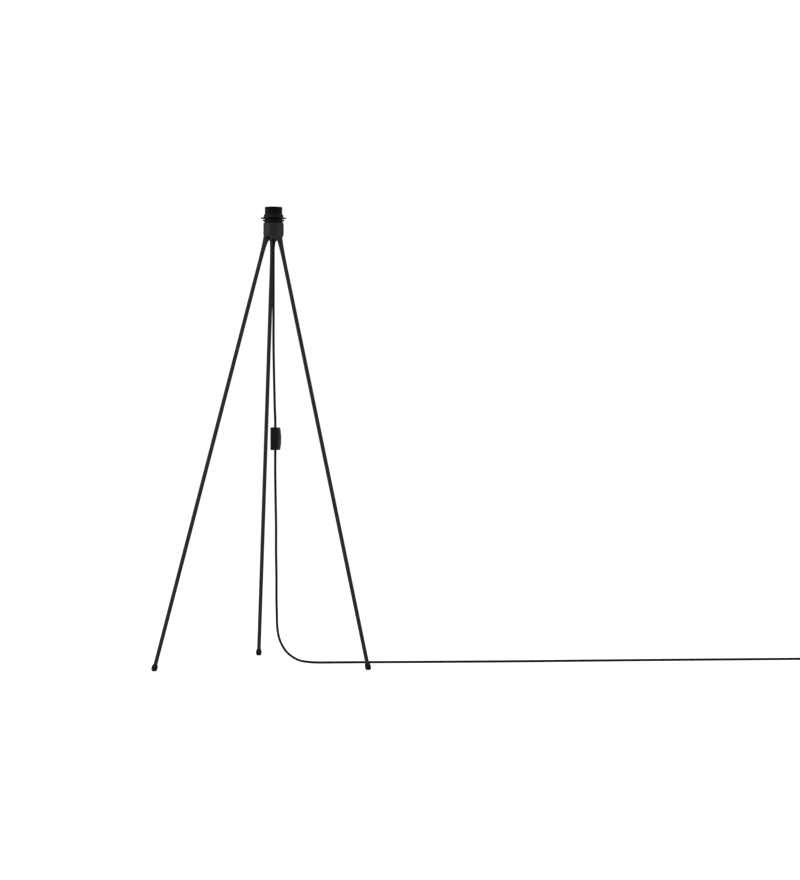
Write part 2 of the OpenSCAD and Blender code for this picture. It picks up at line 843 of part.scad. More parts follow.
module plug_pins() {
    tip = 1.2;
    color("silver") at_plug() for (side = [-1, 1]) {
        translate([relief_l + plug_l, side * pin_pitch / 2, 0]) rotate([0, 90, 0]) {
            translate([0, 0, -pin_root]) cylinder(r = pin_root_r, h = pin_root + pin_l / 2);
            translate([0, 0, seat]) cylinder(r = pin_d / 2, h = pin_l - seat - tip);
            translate([0, 0, pin_l - tip])
                cylinder(r1 = pin_d / 2, r2 = pin_d / 2 - tip * 0.8, h = tip);
        }
    }
}

hub_casting();
leg_left();
leg_right();
leg_rear();
leg_spigots();
grub_screws();
foot_left();
foot_right();
foot_rear();
cord_grip();
nipple();
lock_washer();
nipple_nut();
holder_base();
holder_insert();
holder_sleeve();
screw_shell();
centre_contact();
side_contact();
contact_rivets();
terminal_blocks();
terminal_screws();
shade_ring_lower();
shade_ring_upper();
cord_tail();
lamp_leads();
cord_upper();
switch_base();
switch_cover();
switch_rocker();
rocker_pin();
switch_contacts();
switch_bridge();
switch_screws();
cord_clamps();
switch_tails();
cord_lower();
plug_relief();
plug_body();
plug_pins();
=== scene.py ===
"""Finished looks of a slim tripod floor-lamp base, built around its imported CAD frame.

Lengths are in metres and angles in radians. It adds the surfaces that the solids leave out, such
as threads, flutes, fillets, the woven cord and the moulded details of the switch and the plug.
"""

import logging
import math
from dataclasses import dataclass
from enum import Enum
from typing import Callable, Sequence

import bmesh
import bpy
import numpy as np
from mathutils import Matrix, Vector


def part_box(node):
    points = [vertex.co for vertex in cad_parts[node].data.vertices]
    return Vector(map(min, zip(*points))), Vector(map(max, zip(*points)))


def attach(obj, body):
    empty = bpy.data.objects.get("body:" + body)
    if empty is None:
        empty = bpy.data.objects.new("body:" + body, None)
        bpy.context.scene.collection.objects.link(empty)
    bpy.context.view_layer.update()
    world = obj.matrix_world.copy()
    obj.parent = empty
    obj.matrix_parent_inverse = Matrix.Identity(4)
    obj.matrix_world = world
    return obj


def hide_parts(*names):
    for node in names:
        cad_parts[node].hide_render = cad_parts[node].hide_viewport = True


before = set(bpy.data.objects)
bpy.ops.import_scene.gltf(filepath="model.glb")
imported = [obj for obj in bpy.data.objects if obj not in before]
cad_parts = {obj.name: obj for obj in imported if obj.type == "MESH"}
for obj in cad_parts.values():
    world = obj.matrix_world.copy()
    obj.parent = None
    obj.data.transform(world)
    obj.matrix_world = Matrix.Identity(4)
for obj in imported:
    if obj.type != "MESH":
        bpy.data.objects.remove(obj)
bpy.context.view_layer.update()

LOG = logging.getLogger("lamp_base")
MM = 0.001
STAND = "stand"

Array = np.ndarray
Colour = tuple[float, float, float]
Field = Callable[[Array], Array]


# ---------------------------------------------------------------- shader maths


class Wave:
    """A number that varies over a surface: one output socket that takes part in sums."""

    def __init__(self, net: "Net", socket: bpy.types.NodeSocket) -> None:
        """Wraps a socket of a net."""
        self.net = net
        self.socket = socket

    def _with(self, operation: str, *others: "Wave | float", flip: bool = False) -> "Wave":
        """Adds one Math node.

        Args:
            operation: the Math node's operation.
            others: its other operands.
            flip: True if the operands come in the reverse order.

        Returns:
            The node's result.
        """
        terms = [self, *others]
        if flip:
            terms.reverse()
        node = self.net.node("ShaderNodeMath", {"operation": operation}, dict(enumerate(terms)))
        return Wave(self.net, node.outputs[0])

    def __add__(self, other: "Wave | float") -> "Wave":
        """Sum."""
        return self._with("ADD", other)

    def __sub__(self, other: "Wave | float") -> "Wave":
        """Difference."""
        return self._with("SUBTRACT", other)

    def __rsub__(self, other: float) -> "Wave":
        """Difference with the number first."""
        return self._with("SUBTRACT", other, flip=True)

    def __mul__(self, other: "Wave | float") -> "Wave":
        """Product."""
        return self._with("MULTIPLY", other)

    __radd__ = __add__
    __rmul__ = __mul__

    def sine(self) -> "Wave":
        """Sine of the value in radians."""
        return self._with("SINE")

    def step(self, low: float, high: float) -> "Wave":
        """Smooth step from 0 at low to 1 at high.

        Args:
            low: the value where the result is 0.
            high: the value where the result is 1.

        Returns:
            The eased result.
        """
        node = self.net.node(
            "ShaderNodeMapRange",
            {"interpolation_type": "SMOOTHSTEP"},
            {"Value": self, "From Min": low, "From Max": high},
        )
        return Wave(self.net, node.outputs[0])


class Net:
    """The node tree of one material."""

    def __init__(self, name: str) -> None:
        """Starts a material that holds only a Principled shader and its output.

        Args:
            name: the material's name.
        """
        self.material = bpy.data.materials.new(name)
        self.material.use_nodes = True
        self.tree = self.material.node_tree
        self.tree.nodes.clear()
        self.shader = self.node("ShaderNodeBsdfPrincipled", {}, {})
        self.node("ShaderNodeOutputMaterial", {}, {"Surface": self.shader.outputs[0]})

    def node(self, kind: str, settings: dict, values: dict) -> bpy.types.Node:
        """Adds a node.

        Args:
            kind: the node's type.
            settings: its properties, set first; "stops" fills a colour ramp.
            values: socket name or number to a value, a Wave, an output socket or a node.

        Returns:
            The new node.
        """
        made = self.tree.nodes.new(kind)
        for key, value in settings.items():
            if key == "stops":
                self._fill(made.color_ramp, value)
            else:
                setattr(made, key, value)
        for key, value in values.items():
            self.feed(made, key, value)
        return made

    def feed(self, node: bpy.types.Node, key: str | int, value: object) -> None:
        """Sets or links one input socket of a node.

        Args:
            node: the node.
            key: the socket's name or number.
            value: a value, a Wave, an output socket or a node.
        """
        source = value.socket if isinstance(value, Wave) else value
        if isinstance(source, bpy.types.Node):
            source = source.outputs[0]
        if isinstance(source, bpy.types.NodeSocket):
            self.tree.links.new(source, node.inputs[key])
        else:
            node.inputs[key].default_value = source

    @staticmethod
    def _fill(ramp: bpy.types.ColorRamp, stops: Sequence[tuple[float, Colour]]) -> None:
        """Fills a colour ramp with stops, each a place and a colour."""
        for _ in range(len(stops) - len(ramp.elements)):
            ramp.elements.new(0.5)
        for element, (place, colour) in zip(ramp.elements, stops):
            element.position = place
            element.color = (*colour, 1.0)

    def grain(self, size: float, detail: float = 2.0, stretch: Colour = (1.0, 1.0, 1.0)) -> Wave:
        """Noise on Object coordinates, about 0.5 on average.

        Args:
            size: the size of a grain.
            detail: the noise's octaves.
            stretch: how many times longer a grain is along X, Y and Z.

        Returns:
            The noise.
        """
        place = self.node("ShaderNodeTexCoord", {}, {})
        scale = tuple(1.0 / s for s in stretch)
        mapped = self.node(
            "ShaderNodeMapping", {}, {"Vector": place.outputs["Object"], "Scale": scale}
        )
        noise = self.node(
            "ShaderNodeTexNoise", {}, {"Vector": mapped, "Scale": 1.0 / size, "Detail": detail}
        )
        return Wave(self, noise.outputs[0])

    def blend(self, share: Wave, low: Colour, high: Colour) -> bpy.types.Node:
        """Colour that goes from low to high as share goes from 0 to 1."""
        return self.node(
            "ShaderNodeValToRGB", {"stops": [(0.0, low), (1.0, high)]}, {"Fac": share}
        )

    def bump(self, height: Wave, depth: float, strength: float = 1.0) -> None:
        """Raises the surface by height, from 0 to 1, times depth."""
        made = self.node(
            "ShaderNodeBump", {}, {"Height": height, "Distance": depth, "Strength": strength}
        )
        self.feed(self.shader, "Normal", made.outputs[0])

    def coordinate(self, axis: str) -> Wave:
        """One part of the piece's own UV map: X along the piece, or Y round it.

        Args:
            axis: "X" or "Y".

        Returns:
            The coordinate.
        """
        place = self.node("ShaderNodeTexCoord", {}, {})
        split = self.node("ShaderNodeSeparateXYZ", {}, {0: place.outputs["UV"]})
        return Wave(self, split.outputs[axis])


def shade(colour: Colour, factor: float) -> Colour:
    """A colour made lighter or darker by a factor."""
    return tuple(min(1.0, part * factor) for part in colour)


# ---------------------------------------------------------------- finishes


@dataclass(frozen=True)
class Finish:
    """What every finish has: a name, a colour, a roughness and a specular level."""

    name: str
    colour: Colour
    roughness: float
    specular: float = 0.5

    def material(self) -> bpy.types.Material:
        """The finish's material, made once.

        Returns:
            The material.
        """
        made = bpy.data.materials.get(self.name)
        if made:
            return made
        net = Net(self.name)
        net.shader.inputs["Specular IOR Level"].default_value = self.specular
        return self._build(net)

    def _build(self, net: Net) -> bpy.types.Material:
        """Fills the net; each finish adds its own texture."""
        raise NotImplementedError


@dataclass(frozen=True)
class PowderCoat(Finish):
    """Baked powder: fine pebbled skin, with soft patches where it lies thicker."""

    pebble: float = 0.55 * MM
    depth: float = 0.035 * MM

    def _build(self, net: Net) -> bpy.types.Material:
        """Pebbles drive the bump and the roughness, patches the colour.

        Args:
            net: the material's net.

        Returns:
            The material.
        """
        pebbles = net.grain(self.pebble, detail=1.5)
        patches = net.grain(22 * MM, detail=3.0)
        share = patches * 0.7 + pebbles * 0.3
        tone = net.blend(share, shade(self.colour, 0.8), shade(self.colour, 1.25))
        net.feed(net.shader, "Base Color", tone)
        net.feed(net.shader, "Roughness", self.roughness - 0.06 + patches * 0.08 + pebbles * 0.06)
        net.bump(pebbles, self.depth, 0.7)
        return net.material


@dataclass(frozen=True)
class Moulding(Finish):
    """Moulded plastic: a faint flow pattern and a spark-eroded grain."""

    spark: float = 0.22 * MM
    depth: float = 0.012 * MM
    coat: float = 0.0

    def _build(self, net: Net) -> bpy.types.Material:
        """Grain drives the bump, and slow flow lines the colour and the roughness.

        Args:
            net: the material's net.

        Returns:
            The material.
        """
        grain = net.grain(self.spark, detail=1.0)
        flow = net.grain(9 * MM, detail=3.0, stretch=(1.0, 1.0, 3.0))
        tone = net.blend(flow, shade(self.colour, 0.85), shade(self.colour, 1.2))
        net.feed(net.shader, "Base Color", tone)
        net.feed(net.shader, "Roughness", self.roughness - 0.05 + flow * 0.07 + grain * 0.04)
        net.shader.inputs["Coat Weight"].default_value = self.coat
        net.bump(grain, self.depth, 0.6)
        return net.material


@dataclass(frozen=True)
class Rubber(Finish):
    """Matt rubber with fine pores and pale scuffs."""

    def _build(self, net: Net) -> bpy.types.Material:
        """Pores drive the bump, and scuffs lighten the colour.

        Args:
            net: the material's net.

        Returns:
            The material.
        """
        pores = net.grain(0.35 * MM, detail=2.0)
        scuffs = net.grain(3.5 * MM, detail=4.0).step(0.52, 0.72)
        tone = net.blend(scuffs * 0.6, self.colour, shade(self.colour, 1.9))
        net.feed(net.shader, "Base Color", tone)
        net.feed(net.shader, "Roughness", self.roughness + scuffs * 0.1)
        net.bump(pores, 0.02 * MM, 0.7)
        return net.material


@dataclass(frozen=True)
class Metal(Finish):
    """Drawn or plated metal: fine lines along the working direction and a light tarnish."""

    tarnish: Colour = (0.3, 0.25, 0.15)
    line: Colour = (1.0, 1.0, 12.0)

    def _build(self, net: Net) -> bpy.types.Material:
        """Lines drive the roughness and the bump, and tarnish the colour.

        Args:
            net: the material's net.

        Returns:
            The material.
        """
        lines = net.grain(0.12 * MM, detail=2.0, stretch=self.line)
        spots = net.grain(4 * MM, detail=4.0).step(0.5, 0.85)
        net.feed(net.shader, "Base Color", net.blend(spots * 0.5, self.colour, self.tarnish))
        net.feed(net.shader, "Roughness", self.roughness + lines * 0.12 + spots * 0.15)
        net.shader.inputs["Metallic"].default_value = 1.0
        net.bump(lines, 0.004 * MM, 0.5)
        return net.material


@dataclass(frozen=True)
class Braid(Finish):
    """Woven textile sheath: two sets of strands wind opposite ways and cross over and under."""

    strands: int = 10
    lay: float = 1.0
    depth: float = 0.28 * MM

    def _build(self, net: Net) -> bpy.types.Material:
        """Builds the weave on the UV map, whose X and Y both count turns round the cord.

        Each set's height is |sin(pi n (y + x))| or |sin(pi n (y - x))|, and the sign of
        sin(pi n y) sin(pi n x) says which set is on top. The height also sets the colour:
        a painted highlight on the strand crests and painted shade in the grooves between them.

        Args:
            net: the material's net.

        Returns:
            The material.
        """
        turn = math.pi * self.strands
        along = net.coordinate("X") * (turn * self.lay)
        around = net.coordinate("Y") * turn
        right = (around + along).sine()
        left = (around - along).sine()
        right_top = (around.sine() * along.sine()).step(-0.25, 0.25)
        height = (right * right) * right_top + (left * left) * (1.0 - right_top)
        fibres = net.grain(0.16 * MM, detail=2.0)
        fuzz = net.grain(1.6 * MM, detail=3.0)
        # colour from the strand height is a painted highlight on the crests and painted shade in
        # the grooves; fibres and fuzz add random tone
        tone = (height * 0.6 + fibres * 0.25 + fuzz * 0.15).step(0.1, 0.95)
        colour = net.blend(tone, shade(self.colour, 0.35), shade(self.colour, 1.9))
        net.feed(net.shader, "Base Color", colour)
        net.feed(net.shader, "Roughness", self.roughness - height * 0.12 + fibres * 0.06)
        net.shader.inputs["Sheen Weight"].default_value = 0.03
        net.shader.inputs["Sheen Roughness"].default_value = 0.5
        net.bump(height * 0.85 + fibres * 0.15, self.depth, 0.9)
        return net.material


@dataclass(frozen=True)
class Plaster(Finish):
    """Pale studio floor: it glows for the eye, so that it comes out an even white, and gives
    little light back to the object."""

    glow: float = 0.86
    spill: float = 0.10

    def _build(self, net: Net) -> bpy.types.Material:
        """A barely uneven matt white, which glows most on straight sight lines.

        Args:
            net: the material's net.

        Returns:
            The material.
        """
        mottle = net.grain(180 * MM, detail=3.0)
        net.feed(net.shader, "Base Color", net.blend(mottle, shade(self.colour, 0.99), self.colour))
        net.shader.inputs["Roughness"].default_value = self.roughness
        net.shader.inputs["Emission Color"].default_value = (1.0, 1.0, 1.0, 1.0)
        sight = Wave(net, net.node("ShaderNodeLightPath", {}, {}).outputs["Is Camera Ray"])
        net.feed(net.shader, "Emission Strength", sight * (self.glow - self.spill) + self.spill)
        return net.material


class Finishes:
    """The finishes of the lamp base's own pieces."""

    POWDER = PowderCoat("powder_coat_black", (0.020, 0.020, 0.0212), 0.50, 0.33)
    HOLDER = Moulding("phenolic_black", (0.0036, 0.0036, 0.0038), 0.38, 0.10, coat=0.01)
    RING = Moulding("ring_black", (0.0085, 0.0085, 0.0088), 0.42, 0.18)
    NYLON = Moulding("nylon_black", (0.010, 0.010, 0.010), 0.5, 0.25)
    SWITCH = Moulding("switch_black", (0.0070, 0.0070, 0.0073), 0.30, 0.19, coat=0.03)
    ROCKER = Moulding("rocker_black", (0.014, 0.014, 0.0144), 0.34, 0.30, coat=0.03)
    PLUG = Moulding("plug_black", (0.012, 0.012, 0.0124), 0.45, 0.3)
    RUBBER = Rubber("foot_rubber_black", (0.008, 0.008, 0.008), 0.62, 0.22)
    CORD = Braid("cord_braid_black", (0.014, 0.014, 0.0147), 0.80, 0.2)
    STEEL = Metal("zinc_steel", (0.62, 0.62, 0.63), 0.32, tarnish=(0.42, 0.42, 0.43))
    DARK_STEEL = Metal("blackened_steel", (0.05, 0.05, 0.05), 0.4, tarnish=(0.02, 0.02, 0.02))
    BRASS = Metal("contact_brass", (0.78, 0.58, 0.28), 0.28, tarnish=(0.45, 0.30, 0.14))
    SHELL = Metal("shell_metal", (0.80, 0.74, 0.62), 0.24, tarnish=(0.5, 0.42, 0.30))
    PIN = Metal("nickel_pin", (0.75, 0.73, 0.70), 0.2, tarnish=(0.52, 0.50, 0.46))
    INSERT = Moulding("insert_black", (0.016, 0.015, 0.014), 0.5, 0.3)
    LEAD = Moulding("lead_brown", (0.13, 0.05, 0.02), 0.4)
    FLOOR = Plaster("studio_white", (0.86, 0.86, 0.86), 0.9, 0.0)


# ---------------------------------------------------------------- surfaces


class Surface:
    """Makes meshes from grids of points worked out as whole arrays."""

    SHARP = math.radians(38)

    @classmethod
    def from_grid(
        cls,
        name: str,
        grid: Array,
        uv: Array | None = None,
        wrap: tuple[bool, bool] = (True, True),
    ) -> bpy.types.Object:
        """Joins a grid of points with four-sided faces.

        Args:
            name: the piece's name.
            grid: points, shaped rows by columns by 3.
            uv: the grid's UV values, shaped rows + 1 by columns + 1 by 2.
            wrap: whether the last row joins the first, and the last column the first.

        Returns:
            The object, with doubles merged and faces outwards.
        """
        rows, columns = grid.shape[:2]
        i, j = np.meshgrid(
            np.arange(rows if wrap[0] else rows - 1),
            np.arange(columns if wrap[1] else columns - 1),
            indexing="ij",
        )
        ni, nj = (i + 1) % rows, (j + 1) % columns
        faces = np.stack(
            [i * columns + j, ni * columns + j, ni * columns + nj, i * columns + nj], axis=-1
        ).reshape(-1, 4)
        mesh = cls._mesh(name, grid.reshape(-1, 3), faces)
        if uv is not None:
            corners = np.stack([uv[i, j], uv[i + 1, j], uv[i + 1, j + 1], uv[i, j + 1]], axis=-2)
            layer = mesh.uv_layers.new(name="surface")
            layer.data.foreach_set("uv", corners.reshape(-1).astype(np.float32))
        return cls._finish(name, mesh)

    @staticmethod
    def _mesh(name: str, points: Array, faces: Array) -> bpy.types.Mesh:
        """Puts points and four-sided faces into a mesh with foreach_set.

        Args:
            name: the mesh's name.
            points: its points.
            faces: four point numbers for each face.

        Returns:
            The mesh.
        """
        mesh = bpy.data.meshes.new(name)
        mesh.vertices.add(len(points))
        mesh.vertices.foreach_set("co", points.astype(np.float32).ravel())
        mesh.loops.add(faces.size)
        mesh.loops.foreach_set("vertex_index", faces.astype(np.int32).ravel())
        mesh.polygons.add(len(faces))
        mesh.polygons.foreach_set("loop_start", np.arange(0, faces.size, 4, dtype=np.int32))
        mesh.update(calc_edges=True)
        mesh.validate()
        return mesh

    @classmethod
    def _finish(cls, name: str, mesh: bpy.types.Mesh) -> bpy.types.Object:
        """Merges doubles, turns the faces outwards and smooths all but the sharp edges.

        Args:
            name: the piece's name.
            mesh: its mesh.

        Returns:
            The piece.
        """
        work = bmesh.new()
        work.from_mesh(mesh)
        bmesh.ops.remove_doubles(work, verts=work.verts, dist=0.001 * MM)
        bmesh.ops.recalc_face_normals(work, faces=work.faces)
        work.to_mesh(mesh)
        work.free()
        mesh.shade_smooth()
        mesh.set_sharp_from_angle(angle=cls.SHARP)
        made = bpy.data.objects.new(name, mesh)
        bpy.context.scene.collection.objects.link(made)
        return made

    @classmethod
    def from_field(
        cls, name: str, level: Field, low: Array, high: Array, cell: float
    ) -> bpy.types.Object:
        """Meshes the surface where a field is zero, by surface nets.

        Every cell that the surface crosses gets one point: the mean of the crossings of its
        twelve edges. Two Newton steps, p - f g / |g|^2 with g the field's slope, then put the
        point on the surface. Each crossed edge joins the points of the four cells around it.

        Args:
            name: the piece's name.
            level: the field, negative inside, for points shaped n by 3.
            low: the lowest corner of the space that is searched.
            high: its highest corner.
            cell: the size of a cell.

        Returns:
            The object.
        """
        axes = [np.arange(a - 2 * cell, b + 3 * cell, cell) for a, b in zip(low, high)]
        nodes = np.stack(np.meshgrid(*axes, indexing="ij"), axis=-1)
        shape = nodes.shape[:3]
        values = level(nodes.reshape(-1, 3)).reshape(shape)
        inside = values < 0
        cells = tuple(n - 1 for n in shape)
        total, count = np.zeros((*cells, 3)), np.zeros(cells)
        crossed = []
        for axis in range(3):
            near = tuple(slice(0, n - 1) if a == axis else slice(None) for a, n in enumerate(shape))
            far = tuple(slice(1, None) if a == axis else slice(None) for a in range(3))
            change = inside[near] != inside[far]
            gap = np.where(change, values[near] - values[far], 1.0)
            part = np.where(change, values[near] / gap, 0.0)
            place = nodes[near] + part[..., None] * (nodes[far] - nodes[near])
            crossed.append((change, inside[near]))
            others = [a for a in range(3) if a != axis]
            for shift in np.ndindex(2, 2):
                take = [slice(None)] * 3
                for a, s in zip(others, shift):
                    take[a] = slice(s, s + cells[a])
                take = tuple(take)
                total += np.where(change[take][..., None], place[take], 0.0)
                count += change[take]
        used = count > 0
        number = np.cumsum(used.ravel()).reshape(cells) - 1
        points = total[used] / count[used][:, None]
        points = cls._settle(level, points, cell)
        faces = np.concatenate([cls._quads(axis, *crossed[axis], number) for axis in range(3)])
        return cls._finish(name, cls._mesh(name, points, faces))

    @staticmethod
    def _settle(level: Field, points: Array, cell: float) -> Array:
        """Moves points onto the surface where the field is zero, by at most half a cell.

        Args:
            level: the field.
            points: points near its surface.
            cell: the size of a cell.

        Returns:
            The moved points.
        """
        tiny = cell * 0.02
        for _ in range(2):
            here = level(points)
            slope = np.stack(
                [(level(points + step) - here) / tiny for step in np.eye(3) * tiny], axis=-1
            )
            size = np.maximum((slope**2).sum(axis=1), 0.05)
            move = -(here / size)[:, None] * slope
            length = np.linalg.norm(move, axis=1, keepdims=True)
            points = points + move * np.minimum(1.0, 0.5 * cell / np.maximum(length, 1e-12))
        return points

    @staticmethod
    def _quads(axis: int, change: Array, from_inside: Array, number: Array) -> Array:
        """Faces round the crossed edges that run along one axis.

        Args:
            axis: the edges' axis, 0 to 2.
            change: True at each edge whose ends lie on both sides of the surface.
            from_inside: True at each edge that starts inside.
            number: the number of each cell's point.

        Returns:
            Four point numbers for each face.
        """
        b, c = (axis + 1) % 3, (axis + 2) % 3
        place = np.argwhere(change)
        inner = (place[:, b] > 0) & (place[:, c] > 0)
        inner &= (place[:, b] < number.shape[b]) & (place[:, c] < number.shape[c])
        place = place[inner]
        way = from_inside[change][inner]
        corners = []
        for shift_b, shift_c in ((1, 1), (0, 1), (0, 0), (1, 0)):
            corner = place.copy()
            corner[:, b] -= shift_b
            corner[:, c] -= shift_c
            corners.append(number[tuple(corner.T)])
        faces = np.stack(corners, axis=-1)
        return np.where(way[:, None], faces, faces[:, ::-1])


@dataclass(frozen=True)
class Axis:
    """A straight line with a direction, and two directions square to it."""

    start: tuple[float, float, float]
    along: tuple[float, float, float]

    def frame(self) -> tuple[Array, Array, Array]:
        """Unit directions across, across the other way, and along.

        Returns:
            The three directions.
        """
        w = np.array(self.along, float)
        w /= np.linalg.norm(w)
        spare = np.array([0.0, 1.0, 0.0]) if abs(w[1]) < 0.9 else np.array([1.0, 0.0, 0.0])
        u = np.cross(spare, w)
        u /= np.linalg.norm(u)
        return u, np.cross(w, u), w

    def turned(self, radius: Array, height: Array, angle: Array) -> Array:
        """Points at a radius, a height along the line and an angle round it.

        Args:
            radius: distances from the line.
            height: heights along it.
            angle: angles round it.

        Returns:
            The points.
        """
        u, v, w = self.frame()
        around = np.cos(angle)[..., None] * u + np.sin(angle)[..., None] * v
        return np.array(self.start) + radius[..., None] * around + height[..., None] * w

    def local(self, points: Array) -> tuple[Array, Array]:
        """Distance from the line and height along it, for points shaped n by 3.

        Args:
            points: places in the scene.

        Returns:
            The distances and the heights.
        """
        w = self.frame()[2]
        gap = points - np.array(self.start)
        height = gap @ w
        return np.linalg.norm(gap - height[:, None] * w, axis=1), height


def lathe(
    name: str,
    axis: Axis,
    profile: Array,
    sides: int = 96,
    relief: Callable[[Array, Array, Array], Array] | None = None,
) -> bpy.types.Object:
    """Turns a closed profile about an axis.

    A point is the axis's start + r (cos a u + sin a v) + h w, where (r, h) follow the profile
    and r may first be changed by a relief: r' = relief(r, h, a).

    Args:
        name: the piece's name.
        axis: the axis.
        profile: points (r, h) in order; the last joins the first.
        sides: the number of steps round the axis.
        relief: a change of the radius over the surface, such as a thread or flutes.

    Returns:
        The object.
    """
    angle = np.linspace(0, 2 * math.pi, sides, endpoint=False)
    radius, a = np.meshgrid(profile[:, 0], angle, indexing="ij")
    height = np.broadcast_to(profile[:, 1][:, None], radius.shape)
    if relief is not None:
        radius = relief(radius, height, a)
    return Surface.from_grid(name, axis.turned(radius, height, a))


def rounded_profile(corners: Sequence[tuple[float, float, float]], steps: int = 5) -> Array:
    """A closed profile whose corners are rounded.

    At each corner P with neighbours A and B, the curve (1-t)^2 P1 + 2t(1-t) P + t^2 P2 joins
    the points P1 and P2 that lie the corner's reach from P, towards A and towards B.

    Args:
        corners: (r, h, reach) in order.
        steps: the number of steps in a rounded corner.

    Returns:
        Points (r, h).
    """
    points = np.array([c[:2] for c in corners])
    reach = np.array([c[2] for c in corners])[:, None]
    before, after = np.roll(points, 1, axis=0) - points, np.roll(points, -1, axis=0) - points
    first = points + before / np.linalg.norm(before, axis=1, keepdims=True) * reach
    last = points + after / np.linalg.norm(after, axis=1, keepdims=True) * reach
    t = np.linspace(0, 1, steps + 1)[None, :, None]
    curve = (1 - t) ** 2 * first[:, None] + 2 * t * (1 - t) * points[:, None] + t**2 * last[:, None]
    keep = np.ones(curve.shape[:2], bool)
    keep[reach[:, 0] == 0, 1:] = False
    return curve[keep]


def refine(profile: Array, spacing: float) -> Array:
    """Adds points to a closed profile so that none is further than a spacing from the next.

    Args:
        profile: its points (r, h).
        spacing: the greatest distance allowed.

    Returns:
        The profile with the added points.
    """
    after = np.roll(profile, -1, axis=0)
    parts = np.maximum(1, np.ceil(np.linalg.norm(after - profile, axis=1) / spacing)).astype(int)
    return np.concatenate(
        [a + (b - a) * np.arange(n)[:, None] / n for a, b, n in zip(profile, after, parts)]
    )


def soft_max(a: Array, b: Array, width: float) -> Array:
    """The greater of a and b, with the edge between them rounded over a width.

    It is max(a, b) + h^2 width / 4, where h = max(0, 1 - |a - b| / width).
    """
    share = np.maximum(0.0, 1.0 - np.abs(a - b) / width)
    return np.maximum(a, b) + share * share * width * 0.25


def soft_min(a: Array, b: Array, width: float) -> Array:
    """The smaller of a and b, with a fillet of a width between them."""
    return -soft_max(-a, -b, width)


# ---------------------------------------------------------------- cords


class FarEnd(Enum):
    """What a stretch of cord ends in."""

    SWITCH = "connector"
    PLUG = "plug"


@dataclass
class CordRun:
    """One stretch of the textile cord, on the route of its CAD solid."""

    name: str
    node: str
    route: Sequence[tuple[float, float, float]]
    far_end: FarEnd
    radius: float = 3.0 * MM
    sides: int = 24
    steps: int = 12

    def centreline(self) -> Array:
        """The smooth line through the route's points.

        Between B and C, with A before and D after, a point is half of
        2B + (C - A)t + (2A - 5B + 4C - D)t^2 + (3B - A - 3C + D)t^3.

        Returns:
            The points of the line.
        """
        points = np.array(self.route) * MM
        padded = np.concatenate([points[:1], points, points[-1:]])
        parts = len(points) - 1
        a, b, c, d = (padded[i : i + parts, None] for i in range(4))
        t = (np.arange(self.steps) / self.steps)[None, :, None]
        line = 0.5 * (
            2 * b
            + (c - a) * t
            + (2 * a - 5 * b + 4 * c - d) * t**2
            + (3 * b - a - 3 * c + d) * t**3
        )
        return np.concatenate([line.reshape(-1, 3), points[-1:]])

    def build(self, with_pieces: Sequence[bpy.types.Object]) -> bpy.types.Object:
        """Sweeps a round section along the centreline and closes it at both ends.

        A point is P + r (cos a u + sin a v), with u and v square to the line's direction. The
        UV map counts turns: the length over the girth along the cord, and a / 2 pi round it.

        Args:
            with_pieces: the pieces that hang on this stretch; not used.

        Returns:
            The cord.
        """
        line = self.centreline()
        ahead = np.gradient(line, axis=0)
        ahead /= np.linalg.norm(ahead, axis=1, keepdims=True)
        u = np.cross(ahead, [0.0, 1.0, 0.0])
        u /= np.linalg.norm(u, axis=1, keepdims=True)
        v = np.cross(ahead, u)
        angle = np.linspace(0, 2 * math.pi, self.sides, endpoint=False)
        ring = np.cos(angle)[None, :, None] * u[:, None] + np.sin(angle)[None, :, None] * v[:, None]
        grid = line[:, None] + self.radius * ring
        first, last = (np.repeat(end[:, None], self.sides, 1) for end in (line[:1], line[-1:]))
        grid = np.concatenate([first, grid, last])
        stretch = np.linalg.norm(np.diff(line, axis=0), axis=1)
        travel = np.concatenate([[0.0, 0.0], np.cumsum(stretch), [stretch.sum()]])
        girth = 2 * math.pi * self.radius
        along = np.append(travel, travel[-1]) / girth
        around = np.linspace(0, 1, self.sides + 1)
        uv = np.stack(np.meshgrid(along, around, indexing="ij"), axis=-1)
        made = Surface.from_grid(self.name, grid, uv, wrap=(False, True))
        finish_piece(made, Finishes.CORD, replaces=(self.node,))
        return made


UPPER_ROUTE = (
    (31, -72, 994.5), (31, -72, 970), (31, -72, 930), (31, -72, 880), (31, -72, 820),
    (31, -72, 760), (32, -72, 700), (33, -72, 650), (34, -72, 610), (35, -72, 585),
    (35, -72, 566.25),
)
LOWER_ROUTE = (
    (35, -72, 511.75), (35, -72, 495), (35, -72, 450), (36, -72, 390), (37, -71, 330),
    (37, -70, 270), (38, -69, 210), (38, -68, 160), (39, -66, 120), (40, -64, 90),
    (44, -61, 66), (52, -58, 46), (63, -55, 30), (77, -52, 18), (94, -47, 9),
    (114, -42, 5), (138, -39, 3.3), (170, -37, 3), (240, -36, 3), (335, -37, 3),
    (480, -37, 3), (635, -35, 3), (795, -28, 3), (935, -22, 3), (1075, -18, 3),
    (1215, -15, 3), (1310, -13, 3), (1370, -10, 3), (1410, -2, 3.2), (1434, 8, 5),
    (1448, 15, 6.6), (1456, 20, 6.85),
)


def finish_piece(
    piece: bpy.types.Object,
    finish: Finish,
    body: str = STAND,
    replaces: Sequence[str] = (),
) -> bpy.types.Object:
    """Dresses a new piece and hangs it on its body.

    Args:
        piece: the piece, in place.
        finish: its finish.
        body: the body that it rides on.
        replaces: the CAD nodes that it stands for.

    Returns:
        The piece.
    """
    piece.data.materials.clear()
    piece.data.materials.append(finish.material())
    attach(piece, body)
    if replaces:
        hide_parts(*replaces)
    LOG.info("%s: %d faces, %s", piece.name, len(piece.data.polygons), finish.name)
    return piece


def middle(node: str) -> Vector:
    """The middle of a CAD node's box."""
    low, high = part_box(node)
    return (low + high) / 2


# ---------------------------------------------------------------- tripod


